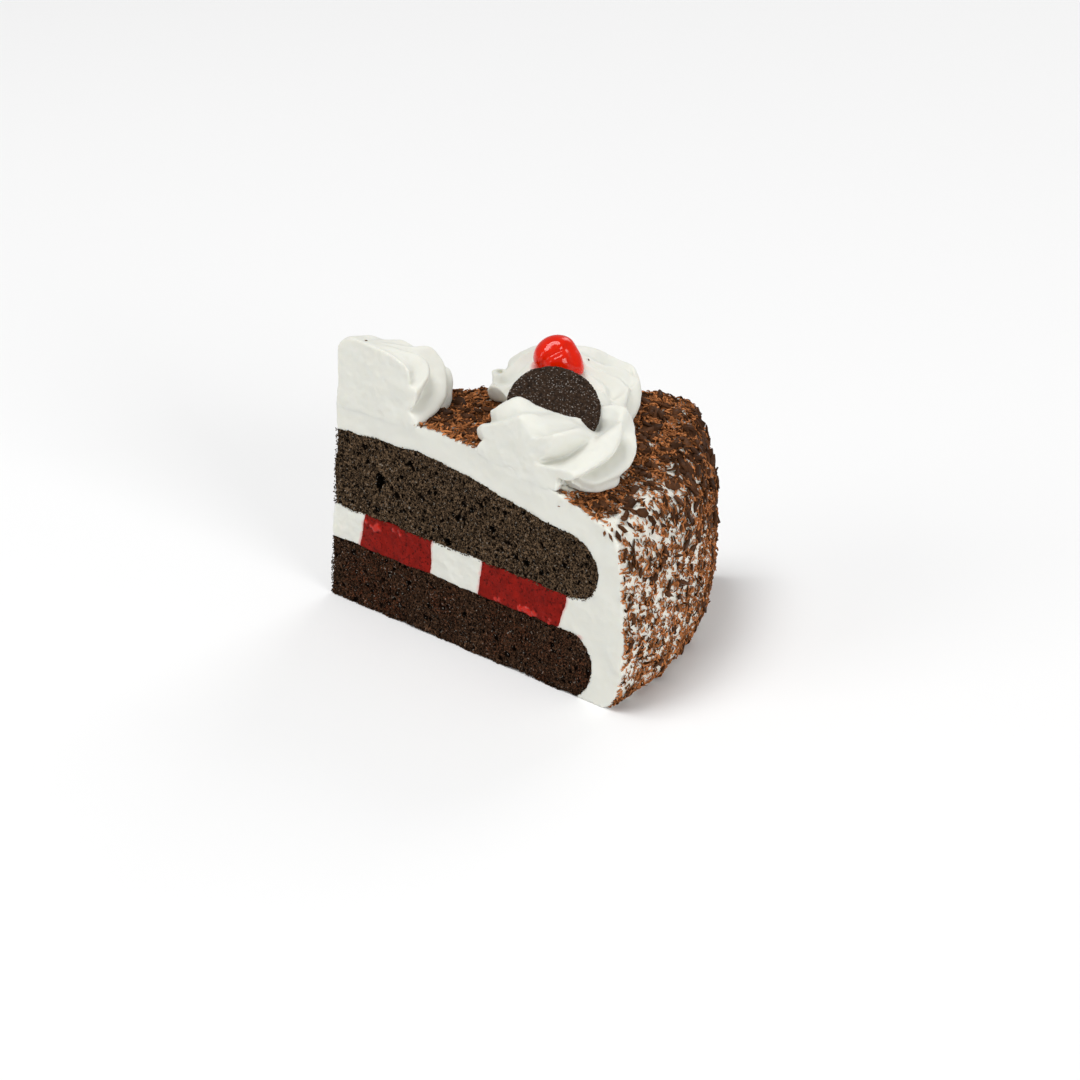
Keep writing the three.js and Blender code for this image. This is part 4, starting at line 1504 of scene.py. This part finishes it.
def biscuit_finish():
    """Baked cocoa dough with a fine grain: painted shade in the hollows between its lumps, painted light on
    their tops, and painted glints.
    """
    look = colours()
    f = Finish("Cocoa biscuit", {"Specular IOR Level": 0.07})
    # Painted shade in the hollows and painted light on the lumps, from the marked heights.
    crust_and_painted_shade = f.mix(f.mark("grain"), scaled(look.biscuit, 0.3), scaled(look.biscuit, 2.0))
    # Painted highlights: pale specks that stand for glints on the grain.
    painted_glint = f.times(f.span(f.clouds(0.44 * MM, 1.0), 0.64, 0.69), 0.5)
    base = f.mix(painted_glint, crust_and_painted_shade, PAINTED_DRY_GLINT)
    rough = f.span(f.clouds(0.45 * MM, 2.0), 0.45, 0.62, 0.62, 0.3)
    normal = f.bump(f.clouds(0.5 * MM, 3.0), 0.2 * MM, 0.8)
    return f.finish(Base_Color=base, Roughness=rough, Normal=normal)


def chocolate_finish(name, dark, light, shine):
    """Broken chocolate, each piece of its own brown between the two."""
    f = Finish(name, {"Specular IOR Level": shine})
    base = f.mix(f.mark("tone"), dark, light)
    cloudy = f.span(f.clouds(0.9 * MM, 3.0), 0.35, 0.65, 0.0, 0.3)
    shade = f.mix(cloudy, base, dark)
    normal = f.bump(f.clouds(0.5 * MM, 3.0), 0.12 * MM, 0.5)
    rough = f.span(f.clouds(1.1 * MM), 0.35, 0.65, 0.42, 0.62)
    return f.finish(Base_Color=shade, Roughness=rough, Normal=normal)


# ---- Stage ----
LOOK_AT = Vector((-9.35, 53.12, 0)) * MM
CAMERA_AWAY = Vector((271.5, -782.2, 403.8)) * MM
LENS = 101.33
SENSOR = 36
FLOOR_SIZE = 4
WORLD_STRENGTH = 0.3
LIGHT_AIM = Vector((0, 0, 0.04))
LIGHTS = {  # place, size across, power
    "soft_top": ((-0.5, -0.4, 2.2), 1.0, 28.5),
    "soft_left": ((-1.6, -1.5, 1.1), 1.2, 11.5),
    "soft_right": ((1.75, -1.2, 0.72), 1.0, 22.5),
    "soft_back": ((0.4, 1.9, 1.2), 1.2, 11),
}


def aimed(data, place, ahead):
    """Puts a light or a camera at a place and turns it to look ahead."""
    made = bpy.data.objects.new(data.name, data)
    made.location = place
    made.rotation_euler = ahead.to_track_quat("-Z", "Y").to_euler()
    bpy.context.scene.collection.objects.link(made)
    return made


class CAKE_OT_stage(bpy.types.Operator):
    """Sets the pale floor, the soft lights and the camera"""

    bl_idname = "cake.stage"
    bl_label = "Stage"

    def execute(self, context):
        scene = context.scene
        scene.view_settings.view_transform = "Standard"
        bm = bmesh.new()
        bmesh.ops.create_grid(bm, x_segments=1, y_segments=1, size=FLOOR_SIZE)
        mesh = mesh_from(bm, "floor")
        floor = bpy.data.objects.new("floor", mesh)
        scene.collection.objects.link(floor)
        paint = Finish("Floor", {"Roughness": 0.7, "Specular IOR Level": 0.2})
        clouds = paint.clouds(0.4)
        pale = colours().floor
        mesh.materials.append(paint.finish(Base_Color=paint.mix(clouds, scaled(pale, 0.99), pale)))

        for name, (place, across, power) in LIGHTS.items():
            lamp = bpy.data.lights.new(name, "AREA")
            lamp.size = across
            lamp.energy = power
            aimed(lamp, place, LIGHT_AIM - Vector(place))

        world = bpy.data.worlds.new("Studio")
        world.use_nodes = True
        sky = world.node_tree.nodes["Background"].inputs
        sky["Color"].default_value = (1, 1, 1, 1)
        sky["Strength"].default_value = WORLD_STRENGTH
        scene.world = world

        lens = bpy.data.cameras.new("camera")
        lens.lens = LENS
        lens.sensor_width = SENSOR
        lens.clip_start = 0.01
        lens.clip_end = 20
        scene.camera = aimed(lens, LOOK_AT + CAMERA_AWAY, -CAMERA_AWAY)
        return {"FINISHED"}


# ---- Panel and registration ----
STEPS = (
    CAKE_OT_stage,
    CAKE_OT_sponges,
    CAKE_OT_fillings,
    CAKE_OT_coat,
    CAKE_OT_rosettes,
    CAKE_OT_cherry,
    CAKE_OT_biscuit,
    CAKE_OT_chocolate,
    CAKE_OT_strays,
)
GROUPS = {"cake_sizes": CakeSizes, "cake_amounts": PieceAmounts, "cake_colours": CakeColours}


class CAKE_PT_slice(bpy.types.Panel):
    """Makes the slice piece by piece"""

    bl_label = "Black Forest Cake"
    bl_idname = "CAKE_PT_slice"
    bl_space_type = "VIEW_3D"
    bl_region_type = "UI"
    bl_category = "Cake"

    def draw(self, context):
        for step in STEPS:
            self.layout.operator(step.bl_idname)
        for name in GROUPS:
            group = getattr(context.scene, name)
            box = self.layout.box()
            for item in group.bl_rna.properties:
                if item.identifier not in ("name", "rna_type"):
                    box.prop(group, item.identifier)


def register():
    for kind in (*GROUPS.values(), *STEPS, CAKE_PT_slice):
        bpy.utils.register_class(kind)
    for name, group in GROUPS.items():
        setattr(bpy.types.Scene, name, PointerProperty(type=group))


def unregister():
    for name in GROUPS:
        delattr(bpy.types.Scene, name)
    for kind in reversed((*GROUPS.values(), *STEPS, CAKE_PT_slice)):
        bpy.utils.unregister_class(kind)


def main():
    register()
    for step in STEPS:
        group, name = step.bl_idname.split(".")
        getattr(getattr(bpy.ops, group), name)()


if __name__ == "__main__":
    main()
